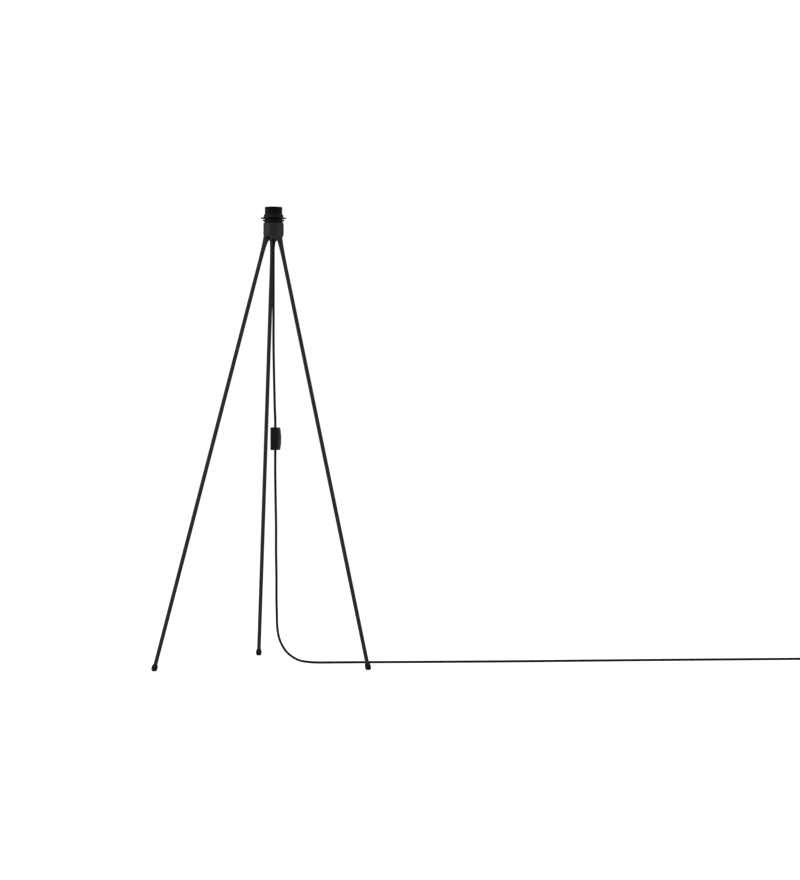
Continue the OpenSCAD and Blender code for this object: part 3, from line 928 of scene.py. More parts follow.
@dataclass
class Tripod:
    """Three straight legs whose lines meet in one point on the head's axis."""

    stance: float = 288 * MM
    apex_height: float = 1085 * MM
    headings: tuple[float, ...] = (math.radians(210), math.radians(330), math.radians(90))
    names: tuple[str, ...] = ("left", "right", "rear")
    leg_radius: float = 4.75 * MM
    wall: float = 1.45 * MM
    horn_end: float = 125 * MM
    foot_height: float = 16 * MM
    foot_radius: float = 7.35 * MM
    foot_neck: float = 5.6 * MM
    groove: float = 0.35 * MM
    seam: float = 0.03 * MM

    def head(self) -> Vector:
        """A point on the head's axis, at floor level."""
        place = middle("holder_sleeve")
        return Vector((place.x, place.y, 0.0))

    def axes(self) -> list[tuple[str, Axis, float]]:
        """Name, line and length from the apex to the floor, for each leg.

        Returns:
            One entry for each leg.
        """
        head = self.head()
        apex = np.array([head.x, head.y, self.apex_height])
        found = []
        for name, heading in zip(self.names, self.headings):
            floor = np.array(
                [self.stance * math.cos(heading), head.y + self.stance * math.sin(heading), 0.0]
            )
            run = floor - apex
            found.append((name, Axis(tuple(apex), tuple(run)), float(np.linalg.norm(run))))
        return found

    def build(self) -> None:
        """Builds the legs and the feet."""
        for name, axis, reach in self.axes():
            self._leg(name, axis, reach)
            self._foot(name, axis, reach)

    def _leg(self, name: str, axis: Axis, reach: float) -> None:
        """A drawn tube with softly broken ends.

        Args:
            name: which leg.
            axis: the leg's line.
            reach: its length from the apex to the floor.
        """
        outer, inner = self.leg_radius, self.leg_radius - self.wall
        start, end = self.horn_end + self.seam, reach - self.foot_height
        edge = 0.4 * MM
        profile = rounded_profile(
            [(inner, start, 0), (outer, start, edge), (outer, end, edge), (inner, end, 0)]
        )
        tube = lathe(f"leg_tube_{name}", axis, profile, sides=48)
        finish_piece(tube, Finishes.POWDER, replaces=(f"leg_{name}",))

    def _foot(self, name: str, axis: Axis, reach: float) -> None:
        """A bulb on the leg's line with one moulded groove, flattened where it meets the floor.

        The radius is R sqrt(1 - ((w - t) / a)^2) up to the widest place w, and then R cos b,
        where t goes on by c sin b. Points below the floor are brought up to it.

        Args:
            name: which leg.
            axis: the leg's line.
            reach: its length from the apex to the floor.
        """
        widest = self.foot_height * 0.53
        upper = widest / math.sqrt(1 - (self.foot_neck / self.foot_radius) ** 2)
        t = np.linspace(0, widest, 28)
        b = np.linspace(0, math.pi / 2, 28)[1:]
        neck = self.foot_radius * np.sqrt(1 - ((widest - t) / upper) ** 2)
        radius = np.concatenate([neck, self.foot_radius * np.cos(b)])
        place = np.concatenate([t, widest + self.foot_height * 0.6 * np.sin(b)])
        radius = radius - self.groove * np.exp(-(((place - 2.6 * MM) / (0.5 * MM)) ** 2))
        profile = np.stack([np.append(0.0, radius), np.append(0.0, place)], axis=-1)
        profile[:, 1] += reach - self.foot_height
        angle = np.linspace(0, 2 * math.pi, 56, endpoint=False)
        r, a = np.meshgrid(profile[:, 0], angle, indexing="ij")
        grid = axis.turned(r, np.broadcast_to(profile[:, 1][:, None], r.shape), a)
        grid[..., 2] = np.maximum(grid[..., 2], 0.0)
        bulb = Surface.from_grid(f"foot_bulb_{name}", grid, wrap=(False, True))
        finish_piece(bulb, Finishes.RUBBER, replaces=(f"foot_{name}",))


@dataclass
class Hub:
    """Cast hub: a cup on a rounded skirt, three arches and three horns that take the legs."""

    tripod: Tripod
    radius: float = 24.45 * MM
    draft: float = 0.35 * MM
    side: float = 25 * MM
    skirt_round: float = 18 * MM
    core_radius: float = 20 * MM
    core_taper: float = 3.5 * MM
    arch_radius: float = 15 * MM
    arch_drop: float = 38.5 * MM
    cup_radius: float = 22.3 * MM
    cup_depth: float = 26 * MM
    horn_root: float = 58 * MM
    horn_lip: float = 0.15 * MM
    horn_flare: float = 3.0 * MM
    socket_start: float = 66 * MM
    screw_at: float = 70.5 * MM
    screw_turn: float = math.radians(80)
    screw_radius: float = 2.55 * MM
    bore: float = 5.05 * MM
    counterbore: float = 5.6 * MM
    cell: float = 0.62 * MM

    def build(self) -> bpy.types.Object:
        """Meshes the field of the casting.

        Returns:
            The piece.
        """
        low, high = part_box("hub_casting")
        made = Surface.from_field(
            "hub_body", self.level, np.array(low), np.array(high), self.cell
        )
        return finish_piece(made, Finishes.POWDER, replaces=("hub_casting",))

    def _body(self, r: Array, z: Array, top: float) -> Array:
        """Cup and skirt: a slightly drafted cylinder, an arc below it, and a tapered core.

        Args:
            r: distances from the head's axis.
            z: heights above the floor.
            top: the height of the casting's top.

        Returns:
            The field of the body.
        """
        skirt = top - self.side
        arc = np.hypot(r - (self.radius - self.skirt_round), z - skirt) - self.skirt_round
        wall = r - self.radius + self.draft * (z - skirt) / self.side
        shell = np.where(z > skirt, wall, arc)
        base = top - self.arch_drop - self.arch_radius + 2.5 * MM
        core = r - self.core_radius + self.core_taper * (skirt - 12 * MM - z) / (skirt - base)
        body = soft_min(shell, np.maximum(core, z - skirt), 2.5 * MM)
        return soft_max(np.maximum(body, base - z), z - top, 3.0 * MM)

    def level(self, points: Array) -> Array:
        """The casting's field: negative inside.

        The body loses three vaults, gains the flared horns with a fillet, and then loses its
        cup, its bores, the horns' sockets and the screw holes.

        Args:
            points: places in the scene.

        Returns:
            The field there.
        """
        head = self.tripod.head()
        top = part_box("hub_casting")[1].z
        x, y, z = points[:, 0] - head.x, points[:, 1] - head.y, points[:, 2]
        r = np.hypot(x, y)
        field_ = self._body(r, z, top)
        axes = self.tripod.axes()
        ways = sorted(math.atan2(a.along[1], a.along[0]) for _, a, _ in axes)
        ways.append(ways[0] + 2 * math.pi)
        arch_z = top - self.arch_drop - self.arch_radius
        for first, last in zip(ways, ways[1:]):
            way = (first + last) / 2
            forth = x * math.cos(way) + y * math.sin(way)
            aside = y * math.cos(way) - x * math.sin(way)
            vault = np.maximum(np.hypot(aside, z - arch_z) - self.arch_radius, -forth)
            field_ = soft_max(field_, -vault, 1.6 * MM)
        horn_radius = self.tripod.leg_radius + self.horn_lip
        end = self.tripod.horn_end
        for _, axis, _ in axes:
            away, down = axis.local(points)
            share = np.clip((down - self.horn_root) / (end - self.horn_root), 0, 1)
            horn = away - horn_radius - self.horn_flare * (1 - share) ** 2
            horn = np.maximum(soft_max(horn, down - end, 0.8 * MM), self.horn_root - down)
            field_ = soft_min(field_, horn, 2.2 * MM)
        floor = top - self.cup_depth
        field_ = soft_max(field_, -np.maximum(r - self.cup_radius, floor - z), 0.8 * MM)
        field_ = np.maximum(field_, self.bore - r)
        field_ = np.maximum(
            field_, -np.maximum(r - self.counterbore, z - (top - self.arch_drop + MM))
        )
        tube = self.tripod.leg_radius - self.tripod.wall
        for _, axis, _ in axes:
            away, down = axis.local(points)
            field_ = np.maximum(field_, -np.maximum(away - tube, self.socket_start - down))
            near, out = self._screw(axis).local(points)
            field_ = soft_max(field_, -np.maximum(near - self.screw_radius, -out), 0.5 * MM)
        return field_

    def _screw(self, axis: Axis) -> Axis:
        """The line of a horn's grub screw: square to the horn, turned from the side that faces
        the head's axis.

        Args:
            axis: the line of the horn's leg.

        Returns:
            The screw's line.
        """
        w = np.array(axis.along) / np.linalg.norm(axis.along)
        heading = math.atan2(w[1], w[0])
        side = np.array([-math.sin(heading), math.cos(heading), 0.0])
        inward = np.cross(side, w)
        way = math.cos(self.screw_turn) * inward + math.sin(self.screw_turn) * side
        start = np.array(axis.start) + self.screw_at * w
        return Axis(tuple(start), tuple(way))


# ---------------------------------------------------------------- lampholder


@dataclass
class Lampholder:
    """Sleeve with its outside thread, screw shell, and the two shade rings."""

    head: Vector
    sleeve_radius: float = 21 * MM
    sleeve_wall: float = 3.4 * MM
    mouth: float = 14.6 * MM
    lip: float = 4 * MM
    pitch: float = 2.5 * MM
    thread: float = 0.5 * MM
    shell_inner: float = 13.3 * MM
    shell_wall: float = 0.45 * MM
    shell_pitch: float = 3.63 * MM
    shell_thread: float = 0.6 * MM
    ring_play: float = 0.05 * MM
    flange: float = 30.5 * MM
    flange_thick: float = 2.2 * MM
    flange_droop: float = 0.4 * MM
    collar: float = 23.25 * MM
    flutes: int = 60
    flute_depth: float = 0.32 * MM
    flute_margin: float = 0.9 * MM
    flute_fade: float = 0.8 * MM
    low_ring: float = 25.5 * MM
    notches: int = 36
    notch_depth: float = 0.35 * MM
    spacing: float = 0.28 * MM

    def axis(self) -> Axis:
        """The head's upright axis, from the floor."""
        return Axis(tuple(self.head), (0.0, 0.0, 1.0))

    def build(self) -> None:
        """Builds the sleeve, the shell and the rings."""
        self._sleeve()
        self._shell()
        self._upper_ring()
        self._lower_ring()

    @staticmethod
    def _helix(height: Array, angle: Array, pitch: float) -> Array:
        """Depth of a rounded thread, from 0 on the crest to 1 in the root:
        (1 - cos(2 pi h / pitch - a)) / 2."""
        return 0.5 - 0.5 * np.cos(2 * math.pi * height / pitch - angle)

    @staticmethod
    def _ease(value: Array, start: float, width: float) -> Array:
        """Goes smoothly from 0 at start to 1 a width further on."""
        t = np.clip((value - start) / width, 0, 1)
        return t * t * (3 - 2 * t)

    def _sleeve(self) -> None:
        """Outside thread from above the neck to just under the rounded rim."""
        low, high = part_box("holder_sleeve")
        inner = self.sleeve_radius - self.sleeve_wall
        corners = [
            (inner, low.z, 0.3 * MM),
            (self.sleeve_radius, low.z, 0.3 * MM),
            (self.sleeve_radius, high.z, 1.3 * MM),
            (self.mouth, high.z, 0.9 * MM),
            (self.mouth, high.z - self.lip, 0.3 * MM),
            (inner, high.z - self.lip, 0.3 * MM),
        ]

        def relief(r: Array, h: Array, a: Array) -> Array:
            """Cuts the thread into the outer wall only.

            Args:
                r: distances from the axis.
                h: heights along it.
                a: angles round it.

            Returns:
                The radius after the cut.
            """
            wall = self._ease(r, self.sleeve_radius - 0.6 * MM, 0.5 * MM)
            ends = self._ease(h, low.z + 0.8 * MM, 2 * MM) * self._ease(-h, 3 * MM - high.z, 2 * MM)
            return r - self.thread * wall * ends * self._helix(h, a, self.pitch)

        profile = refine(rounded_profile(corners), self.spacing)
        made = lathe("sleeve_threaded", self.axis(), profile, sides=144, relief=relief)
        finish_piece(made, Finishes.HOLDER, replaces=("holder_sleeve",))

    def _shell(self) -> None:
        """Formed sheet with a rounded lamp thread pressed into both faces."""
        low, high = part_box("screw_shell")
        outer = self.shell_inner + self.shell_wall
        corners = [
            (self.shell_inner, low.z, 0.1 * MM),
            (outer, low.z, 0.1 * MM),
            (outer, high.z, 0.2 * MM),
            (self.shell_inner, high.z, 0.2 * MM),
        ]

        def relief(r: Array, h: Array, a: Array) -> Array:
            """Presses the thread inwards, except at the two rims.

            Args:
                r: distances from the axis.
                h: heights along it.
                a: angles round it.

            Returns:
                The radius after the cut.
            """
            ends = self._ease(h, low.z + 0.5 * MM, MM) * self._ease(-h, MM - high.z, MM)
            return r - self.shell_thread * ends * self._helix(h, a, self.shell_pitch)

        profile = refine(rounded_profile(corners, steps=3), self.spacing)
        made = lathe("lamp_thread", self.axis(), profile, sides=120, relief=relief)
        finish_piece(made, Finishes.SHELL, replaces=("screw_shell",))

    def _upper_ring(self) -> None:
        """Thin flange with a rolled rim, and a fluted collar that the fingers turn."""
        low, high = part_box("shade_ring_upper")
        bore = self.sleeve_radius + self.ring_play
        droop = self.flange_droop
        top = low.z + droop + self.flange_thick
        corners = [
            (bore, low.z + droop, 0.3 * MM),
            (self.flange - 4 * MM, low.z + droop, 1.5 * MM),
            (self.flange - 1.6 * MM, low.z, 1.2 * MM),
            (self.flange, low.z + 0.3 * MM, 0.6 * MM),
            (self.flange, low.z + 2.0 * MM, 0.8 * MM),
            (self.flange - 4 * MM, top - 0.25 * MM, 1.5 * MM),
            (self.collar, top, 1.0 * MM),
            (self.collar, high.z, 0.9 * MM),
            (bore, high.z, 0.7 * MM),
        ]

        def relief(r: Array, h: Array, a: Array) -> Array:
            """Flutes in the collar, and none in the flange.

            Args:
                r: distances from the axis.
                h: heights along it.
                a: angles round it.

            Returns:
                The radius after the cut.
            """
            wall = self._ease(r, self.collar - 0.8 * MM, 0.6 * MM)
            below = self._ease(h, top + self.flute_margin, self.flute_fade)
            above = self._ease(-h, self.flute_margin - high.z, self.flute_fade)
            rows = below * above
            cut = (0.5 - 0.5 * np.cos(self.flutes * a)) ** 2
            return r - self.flute_depth * wall * rows * cut

        profile = refine(rounded_profile(corners), 0.6 * MM)
        made = lathe("ring_upper", self.axis(), profile, sides=480, relief=relief)
        finish_piece(
            made, Finishes.RING, body="upper_ring", replaces=("shade_ring_upper",)
        )

    def _lower_ring(self) -> None:
        """Thin ring with shallow finger notches in its rim."""
        low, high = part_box("shade_ring_lower")
        bore = self.sleeve_radius + self.ring_play
        corners = [
            (bore, low.z, 0.3 * MM),
            (self.low_ring, low.z, 0.8 * MM),
            (self.low_ring, high.z, 0.8 * MM),
            (bore, high.z, 0.4 * MM),
        ]

        def relief(r: Array, h: Array, a: Array) -> Array:
            """Notches, deepest at the rim.

            Args:
                r: distances from the axis.
                h: heights along it.
                a: angles round it.

            Returns:
                The radius after the cut.
            """
            rim = self._ease(r, self.low_ring - 1.6 * MM, 1.4 * MM)
            cut = (0.5 - 0.5 * np.cos(self.notches * a)) ** 3
            return r - self.notch_depth * rim * cut

        profile = refine(rounded_profile(corners), 0.6 * MM)
        made = lathe("ring_lower", self.axis(), profile, sides=432, relief=relief)
        finish_piece(
            made, Finishes.RING, body="lower_ring", replaces=("shade_ring_lower",)
        )


@dataclass
class CordGrip:
    """Nylon grip under the hub: a tapered nose with ring grooves, so that it bends softly."""

    head: Vector
    top_radius: float = 5.2 * MM
    nose_radius: float = 3.7 * MM
    shoulder_rise: float = 20 * MM
    bore: float = 3.05 * MM
    grooves: int = 5
    depth: float = 0.5 * MM

    def build(self) -> bpy.types.Object:
        """Turns the grip about the head's axis.

        Returns:
            The piece.
        """
        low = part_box("cord_grip")[0].z
        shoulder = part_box("cord_upper")[1].z + self.shoulder_rise
        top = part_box("cord_grip")[1].z
        length = shoulder - low
        corners = [
            (self.bore, low, 0.15 * MM),
            (self.nose_radius, low, 0.5 * MM),
            (self.top_radius, shoulder, 0.5 * MM),
            (self.top_radius - 0.3 * MM, top, 0.3 * MM),
            (self.bore, top, 0.2 * MM),
        ]

        def relief(r: Array, h: Array, a: Array) -> Array:
            """Rounded grooves spread along the nose's outside: sin^4 of the height.

            Args:
                r: distances from the axis.
                h: heights along it.
                a: angles round it.

            Returns:
                The radius after the cut.
            """
            share = np.clip((h - low) / length, 0, 1)
            outside = (r > self.bore + 0.3 * MM) & (share > 0.06) & (share < 0.94)
            wave = np.sin(math.pi * self.grooves * share) ** 4
            return r - self.depth * wave * outside

        profile = refine(rounded_profile(corners), 0.35 * MM)
        made = lathe("grip_nose", Axis(tuple(self.head), (0.0, 0.0, 1.0)), profile, 64, relief)
        return finish_piece(made, Finishes.NYLON, replaces=("cord_grip",))


# ---------------------------------------------------------------- switch


@dataclass
class CordSwitch:
    """In-line switch: two shells with a crowned front, and a rocker in its window.

    Its own frame has +X out of the rocker, Y across and Z along the cord.
    """

    place: Vector
    yaw: float = math.radians(-22)
    length: float = 54.5 * MM
    width: float = 25 * MM
    thick: float = 18.5 * MM
    crown: float = 2.8 * MM
    wall: float = 2.0 * MM
    split: float = -1.0 * MM
    rocker_length: float = 29 * MM
    rocker_width: float = 12.6 * MM
    swing: float = math.radians(4)
    pivot_in: float = 5.5 * MM
    proud: float = 0.6 * MM
    sag: float = 2.0 * MM
    cord_hole: float = 3.25 * MM
    seam: float = 0.12 * MM
    screw_offset: float = 6.4 * MM
    screw_radius: float = 1.95 * MM
    window_side: float = 0.4 * MM
    window_end: float = 0.9 * MM
    rib_depth: float = 0.22 * MM
    rib_pitch: float = 2.6 * MM
    rib_place: float = 8.2 * MM
    rib_reach: float = 3.4 * MM
    rib_side: float = 4.4 * MM
    under: float = 2.4 * MM
    end_draft: float = 0.35 * MM
    end_depth: float = 3 * MM
    heel: float = 2 * MM
    pin_radius: float = 1.32 * MM
    cell: float = 0.36 * MM

    def build(self) -> list[bpy.types.Object]:
        """Builds both shells and the rocker, and returns them.

        Returns:
            The three pieces.
        """
        margin = np.array([1.0, 1.0, 1.0]) * 0.5 * MM
        pieces = []
        for name, node, level in (
            ("switch_shell_back", "switch_base", self.back_level),
            ("switch_shell_front", "switch_cover", self.front_level),
        ):
            low, high = (np.array(corner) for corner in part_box(node))
            made = Surface.from_field(name, level, low - margin, high + margin, self.cell)
            pieces.append(finish_piece(made, Finishes.SWITCH, replaces=(node,)))
        low, high = (np.array(corner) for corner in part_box("switch_rocker"))
        made = Surface.from_field(
            "rocker_button", self.rocker_level, low - margin, high + margin, self.cell * 0.8
        )
        pieces.append(
            finish_piece(
                made, Finishes.ROCKER, body="rocker", replaces=("switch_rocker",)
            )
        )
        return pieces

    def _local(self, points: Array) -> tuple[Array, Array, Array]:
        """Points in the switch's own frame.

        Args:
            points: places in the scene.

        Returns:
            How far out, across and along each one is.
        """
        gap = points - np.array(self.place)
        c, s = math.cos(self.yaw), math.sin(self.yaw)
        return c * gap[:, 0] + s * gap[:, 1], c * gap[:, 1] - s * gap[:, 0], gap[:, 2]

    def _housing(self, x: Array, y: Array, z: Array) -> Array:
        """Closed outside of both shells: a rounded box whose front is a shallow parabola,
        thick / 2 + crown (1 - (2 z / length)^2).

        Args:
            x: distances out of the rocker.
            y: distances across the switch.
            z: distances along the cord.

        Returns:
            The field there.
        """
        front = self.thick / 2 + self.crown * (1 - (2 * z / self.length) ** 2)
        depth = np.maximum(x - front, -self.thick / 2 - x)
        section = soft_max(depth, np.abs(y) - self.width / 2, 5.0 * MM)
        return soft_max(section, np.abs(z) - self.length / 2, 2.4 * MM)

    def _hollow(self, x: Array, y: Array, z: Array) -> Array:
        """The housing's wall, with the two holes for the cord.

        Args:
            x: distances out of the rocker.
            y: distances across the switch.
            z: distances along the cord.

        Returns:
            The field there.
        """
        housing = self._housing(x, y, z)
        walls = np.maximum(housing, -(housing + self.wall))
        hole = np.hypot(x, y) - self.cord_hole
        return soft_max(walls, -hole, 0.8 * MM)

    def back_level(self, points: Array) -> Array:
        """Back shell, with the recesses of its two screws.

        Args:
            points: places in the scene.

        Returns:
            The field there.
        """
        x, y, z = self._local(points)
        body = soft_max(self._hollow(x, y, z), x - self.split + self.seam, 0.7 * MM)
        screw = np.hypot(np.abs(y) - self.screw_offset, z) - self.screw_radius
        return soft_max(body, -screw, 0.5 * MM)

    def front_level(self, points: Array) -> Array:
        """Front shell, with the rocker's window and its broken edge.

        Args:
            points: places in the scene.

        Returns:
            The field there.
        """
        x, y, z = self._local(points)
        body = soft_max(self._hollow(x, y, z), self.split + self.seam - x, 0.7 * MM)
        side = np.abs(y) - self.rocker_width / 2 - self.window_side
        end = np.abs(z) - self.rocker_length / 2 - self.window_end
        return soft_max(body, -np.maximum(side, end), 0.9 * MM)

    def rocker_level(self, points: Array) -> Array:
        """Rocker, turned about its pin: a dished top with three finger ribs on each half.

        Args:
            points: places in the scene.

        Returns:
            The field there.
        """
        x, y, z = self._local(points)
        x = x - (self.thick / 2 + self.crown - self.pivot_in)
        c, s = math.cos(self.swing), math.sin(self.swing)
        x, z = c * x - s * z, s * x + c * z
        half = self.rocker_length / 2
        top = self.pivot_in + self.proud - self.sag * (z / half) ** 2
        ribs = self.rib_depth * np.clip(np.cos(2 * math.pi * z / self.rib_pitch), 0, 1)
        band = (np.abs(np.abs(z) - self.rib_place) < self.rib_reach) & (np.abs(y) < self.rib_side)
        depth = np.maximum(x - top + ribs * band, -self.under - x)
        lower = np.abs(z) - half + self.end_draft * (top - x) / self.end_depth
        sloped = np.abs(z) - half + 1.5 * MM + 1.6 * (self.heel - x)
        taper = np.where(x < self.heel, sloped, lower)
        ends = soft_max(depth, np.maximum(lower, taper), 1.2 * MM)
        body = soft_max(ends, np.abs(y) - self.rocker_width / 2, 1.0 * MM)
        return np.maximum(body, self.pin_radius - np.hypot(x, z))


# ---------------------------------------------------------------- plug


@dataclass
class FlatPlug:
    """Flat moulded plug: a ribbed relief, a waisted body and two part-sleeved pins."""

    start: tuple[float, float, float] = (1456.2 * MM, 20.1 * MM, 6.85 * MM)
    yaw: float = math.atan2(5, 8)
    relief_length: float = 24 * MM
    length: float = 36 * MM
    width: float = 35 * MM
    thick: float = 13.7 * MM
    pitch: float = 19 * MM
    pin_radius: float = 2.0 * MM
    pin_length: float = 19 * MM
    sleeve_length: float = 10 * MM
    sleeve_skin: float = 0.05 * MM
    sleeve_play: float = 0.004 * MM
    pin_root: float = 3 * MM
    bore: float = 3.05 * MM
    slots: int = 7
    slot_depth: float = 0.6 * MM
    neck: float = 6.6 * MM
    face_draw: float = 2.0 * MM
    hollow_size: float = 8 * MM
    hollow_depth: float = 0.5 * MM
    rib_depth: float = 0.45 * MM
    rib_pitch: float = 3.2 * MM
    cord_room: float = 3.1 * MM
    cell: float = 0.42 * MM

    def build(self) -> list[bpy.types.Object]:
        """Builds the plug's pieces and returns them."""
        return [self._relief(), self._body(), *self._pins()]

    def _line(self, offset: float = 0.0) -> Axis:
        """The plug's line, or one beside it.

        Args:
            offset: how far beside the middle it lies.

        Returns:
            The line.
        """
        c, s = math.cos(self.yaw), math.sin(self.yaw)
        x, y, z = self.start
        return Axis((x - s * offset, y + c * offset, z), (c, s, 0.0))

    def _relief(self) -> bpy.types.Object:
        """Tapered relief with slots between its ribs.

        Returns:
            The piece.
        """
        low, high = 0.3 * MM, self.relief_length + 1.2 * MM
        corners = [
            (self.bore, low, 0.15 * MM),
            (3.9 * MM, low, 0.5 * MM),
            (5.55 * MM, high, 0.2 * MM),
            (self.bore, high, 0.15 * MM),
        ]

        def relief(r: Array, h: Array, a: Array) -> Array:
            """Slots on two opposite sides, turned by a quarter from one rib to the next.

            Args:
                r: distances from the axis.
                h: heights along it.
                a: angles round it.

            Returns:
                The radius after the cut.
            """
            share = (h - low) / (high - low)
            row = np.floor(share * self.slots)
            slot = np.sin(math.pi * self.slots * share) ** 2 > 0.35
            side = np.cos(a + row * math.pi / 2) ** 2 > 0.22
            cut = slot & side & (r > 3.6 * MM) & (share > 0.05) & (share < 0.93)
            return r - self.slot_depth * cut

        profile = refine(rounded_profile(corners), 0.3 * MM)
        made = lathe("plug_tail", self._line(), profile, 72, relief)
        return finish_piece(made, Finishes.PLUG, replaces=("plug_relief",))

    def _body(self) -> bpy.types.Object:
        """Meshes the field of the body.

        Returns:
            The piece.
        """
        low, high = (np.array(corner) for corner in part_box("plug_body"))
        made = Surface.from_field("plug_moulding", self.level, low - MM, high + MM, self.cell)
        return finish_piece(made, Finishes.PLUG, replaces=("plug_body",))

    def level(self, points: Array) -> Array:
        """The body's field: negative inside.

        Its width swells from the relief and draws in at the face, and each side has a shallow
        finger hollow with ribs across it.

        Args:
            points: places in the scene.

        Returns:
            The field there.
        """
        gap = points - np.array(self.start)
        c, s = math.cos(self.yaw), math.sin(self.yaw)
        along = c * gap[:, 0] + s * gap[:, 1] - self.relief_length
        across = c * gap[:, 1] - s * gap[:, 0]
        up = gap[:, 2]
        share = np.clip(along / self.length, 0, 1)
        swell = share * share * (3 - 2 * share)
        half = self.neck + (self.width / 2 - self.neck) * np.minimum(1.0, 1.25 * swell)
        half = half - self.face_draw * np.clip((share - 0.6) / 0.4, 0, 1) ** 2
        size = self.hollow_size
        hollow = np.exp(-(((along - 0.5 * self.length) / size) ** 2) - (across / size) ** 2)
        ribs = 0.5 + 0.5 * np.cos(2 * math.pi * along / self.rib_pitch)
        deep = hollow * (self.hollow_depth + self.rib_depth * ribs)
        body = soft_max(
            np.abs(up) - self.thick / 2 + deep, (np.abs(across) - half) * 0.85, 4.5 * MM
        )
        ends = np.maximum(along - self.length, -along)
        body = soft_max(body, ends, 1.6 * MM)
        cord = np.hypot(np.hypot(across, up), np.maximum(along, 0.0))
        return np.maximum(body, self.cord_room - cord)

    def _pins(self) -> list[bpy.types.Object]:
        """Metal pins with a round nose, and the sleeves moulded on their roots.

        Returns:
            The pieces.
        """
        face = self.relief_length + self.length
        made = []
        for name, offset in (("near", -self.pitch / 2), ("far", self.pitch / 2)):
            axis = self._line(offset)
            nose = np.linspace(0, math.pi / 2, 10)
            tip = face + self.pin_length
            radius = self.pin_radius - self.sleeve_skin
            rounded = np.stack(
                [radius * np.cos(nose), tip - radius + radius * np.sin(nose)], axis=-1
            )
            root = face - self.pin_root
            profile = np.concatenate([[[0.0, root], [radius, root]], rounded])
            metal = lathe(f"pin_{name}", axis, profile, 40)
            made.append(finish_piece(metal, Finishes.PIN))
            sleeve = rounded_profile(
                [
                    (radius + self.sleeve_play, face - MM, 0.01 * MM),
                    (self.pin_radius, face - MM, 0.01 * MM),
                    (self.pin_radius, face + self.sleeve_length, 0.03 * MM),
                    (radius + self.sleeve_play, face + self.sleeve_length, 0.01 * MM),
                ],
                steps=2,
            )
            skin = lathe(f"pin_sleeve_{name}", axis, sleeve, 40)
            made.append(finish_piece(skin, Finishes.PLUG))
        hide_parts("plug_pins")
        return made


# ---------------------------------------------------------------- kept parts and the studio


class KeptParts:
    """CAD nodes that are shown as they are, each with its own finish."""

    FINISHES = {
        "leg_spigots": Finishes.STEEL,
        "grub_screws": Finishes.DARK_STEEL,
        "nipple": Finishes.STEEL,
        "lock_washer": Finishes.STEEL,
        "nipple_nut": Finishes.STEEL,
        "holder_base": Finishes.HOLDER,
        "holder_insert": Finishes.INSERT,
        "centre_contact": Finishes.BRASS,
        "side_contact": Finishes.BRASS,
        "contact_rivets": Finishes.BRASS,
        "terminal_blocks": Finishes.BRASS,
        "terminal_screws": Finishes.STEEL,
        "cord_tail": Finishes.NYLON,
        "lamp_leads": Finishes.LEAD,
        "rocker_pin": Finishes.STEEL,
        "switch_contacts": Finishes.BRASS,
        "switch_bridge": Finishes.BRASS,
        "switch_screws": Finishes.STEEL,
        "cord_clamps": Finishes.NYLON,
        "switch_tails": Finishes.NYLON,
    }

    @classmethod
    def dress(cls) -> None:
        """Gives each kept node its material."""
        for name, finish in cls.FINISHES.items():
            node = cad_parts[name]
            if node.material_slots:
                for slot in node.material_slots:
                    slot.material = finish.material()
            else:
                node.data.materials.append(finish.material())
            LOG.info("%s: %s", name, finish.name)


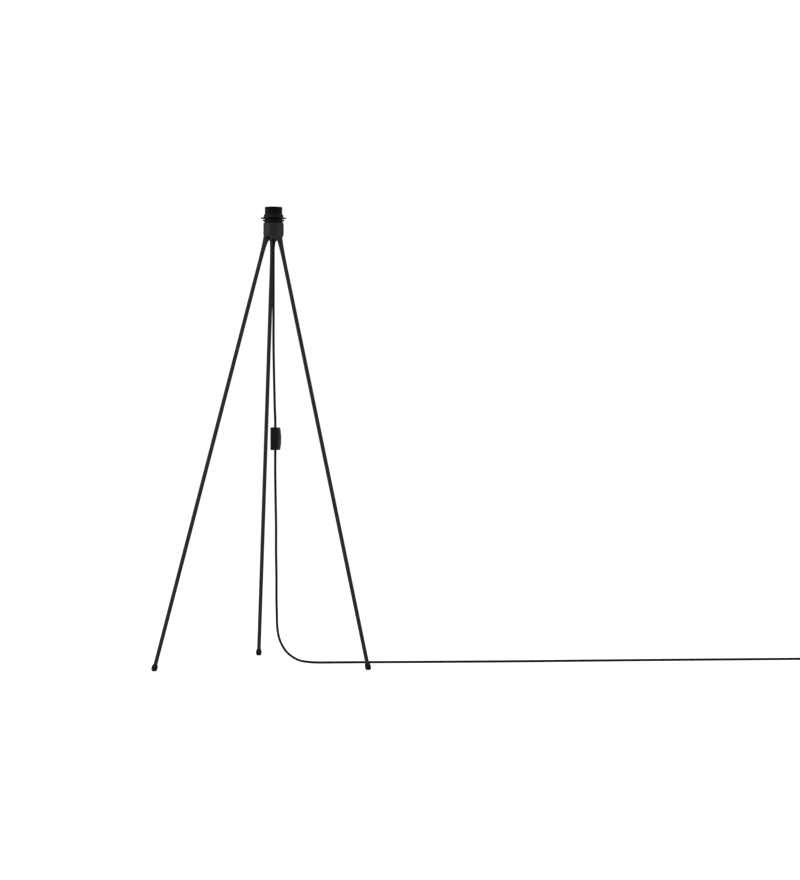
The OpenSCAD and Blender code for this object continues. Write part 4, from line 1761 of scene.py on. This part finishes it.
@dataclass
class Studio:
    """Camera, a wide pale floor under a white sky, and soft lights on both sides."""

    eye: tuple[float, float, float] = (-0.0959, -6.2780, 0.536)
    aim: tuple[float, float, float] = (0.06888, 0.99762, 0.0)
    lens: float = 106.6
    floor_radius: float = 400.0
    sky_seen: float = 1.05
    sky_light: float = 0.24
    lights: tuple[tuple[str, tuple[float, float, float], float, float], ...] = (
        ("light_left", (-3.4, -0.9, 1.5), 2.4, 34.0),
        ("light_right", (3.6, -1.3, 1.4), 2.4, 20.0),
        ("light_top", (0.2, -0.6, 4.5), 3.0, 40.0),
    )

    def camera(self) -> None:
        """Makes the scene's camera."""
        data = bpy.data.cameras.new("camera")
        data.lens = self.lens
        data.clip_end = 1000.0
        made = bpy.data.objects.new("camera", data)
        made.location = self.eye
        made.rotation_euler = Vector(self.aim).to_track_quat("-Z", "Y").to_euler()
        bpy.context.scene.collection.objects.link(made)
        bpy.context.scene.camera = made

    def room(self) -> None:
        """A flat floor that meets the sky far away, the sky itself, and the soft lights."""
        radius = np.concatenate([[0.0], np.geomspace(0.5, self.floor_radius, 24)])
        angle = np.linspace(0, 2 * math.pi, 64, endpoint=False)
        r, a = np.meshgrid(radius, angle, indexing="ij")
        grid = np.stack([r * np.cos(a), r * np.sin(a), np.zeros_like(r)], axis=-1)
        floor = Surface.from_grid("studio_floor", grid, wrap=(False, True))
        floor.data.materials.append(Finishes.FLOOR.material())
        self._sky()
        target = Vector((0.03, -0.07, 0.6))
        for name, place, size, power in self.lights:
            data = bpy.data.lights.new(name, "AREA")
            data.size = size
            data.energy = power
            lamp = bpy.data.objects.new(name, data)
            lamp.location = place
            lamp.rotation_euler = (target - Vector(place)).to_track_quat("-Z", "Y").to_euler()
            bpy.context.scene.collection.objects.link(lamp)

    def _sky(self) -> None:
        """White to the eye, and a dim even fill for every surface."""
        world = bpy.data.worlds.new("studio_sky")
        world.use_nodes = True
        tree = world.node_tree
        sky = tree.nodes["Background"]
        sight = tree.nodes.new("ShaderNodeLightPath")
        level = tree.nodes.new("ShaderNodeMapRange")
        level.inputs["To Min"].default_value = self.sky_light
        level.inputs["To Max"].default_value = self.sky_seen
        tree.links.new(sight.outputs["Is Camera Ray"], level.inputs["Value"])
        tree.links.new(level.outputs[0], sky.inputs["Strength"])
        sky.inputs["Color"].default_value = (1.0, 1.0, 1.0, 1.0)
        bpy.context.scene.world = world
        bpy.context.scene.view_settings.view_transform = "Standard"


def main() -> None:
    """Builds the lamp base, piece by piece."""
    logging.basicConfig(level=logging.INFO, format="%(name)s: %(message)s")
    studio = Studio()
    studio.camera()
    switch = CordSwitch(Vector((35 * MM, -72 * MM, 539 * MM)))
    plug = FlatPlug()
    on_upper = switch.build()
    inside = [
        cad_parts[n]
        for n in (
            "rocker_pin", "switch_contacts", "switch_bridge", "switch_screws", "cord_clamps",
            "switch_tails",
        )
    ]
    CordRun("cord_hanging", "cord_upper", UPPER_ROUTE, FarEnd.SWITCH).build([*on_upper, *inside])
    CordRun("cord_on_floor", "cord_lower", LOWER_ROUTE, FarEnd.PLUG).build(plug.build())
    tripod = Tripod()
    tripod.build()
    Hub(tripod).build()
    Lampholder(tripod.head()).build()
    CordGrip(tripod.head()).build()
    KeptParts.dress()
    studio.room()


if __name__ == "__main__":
    main()
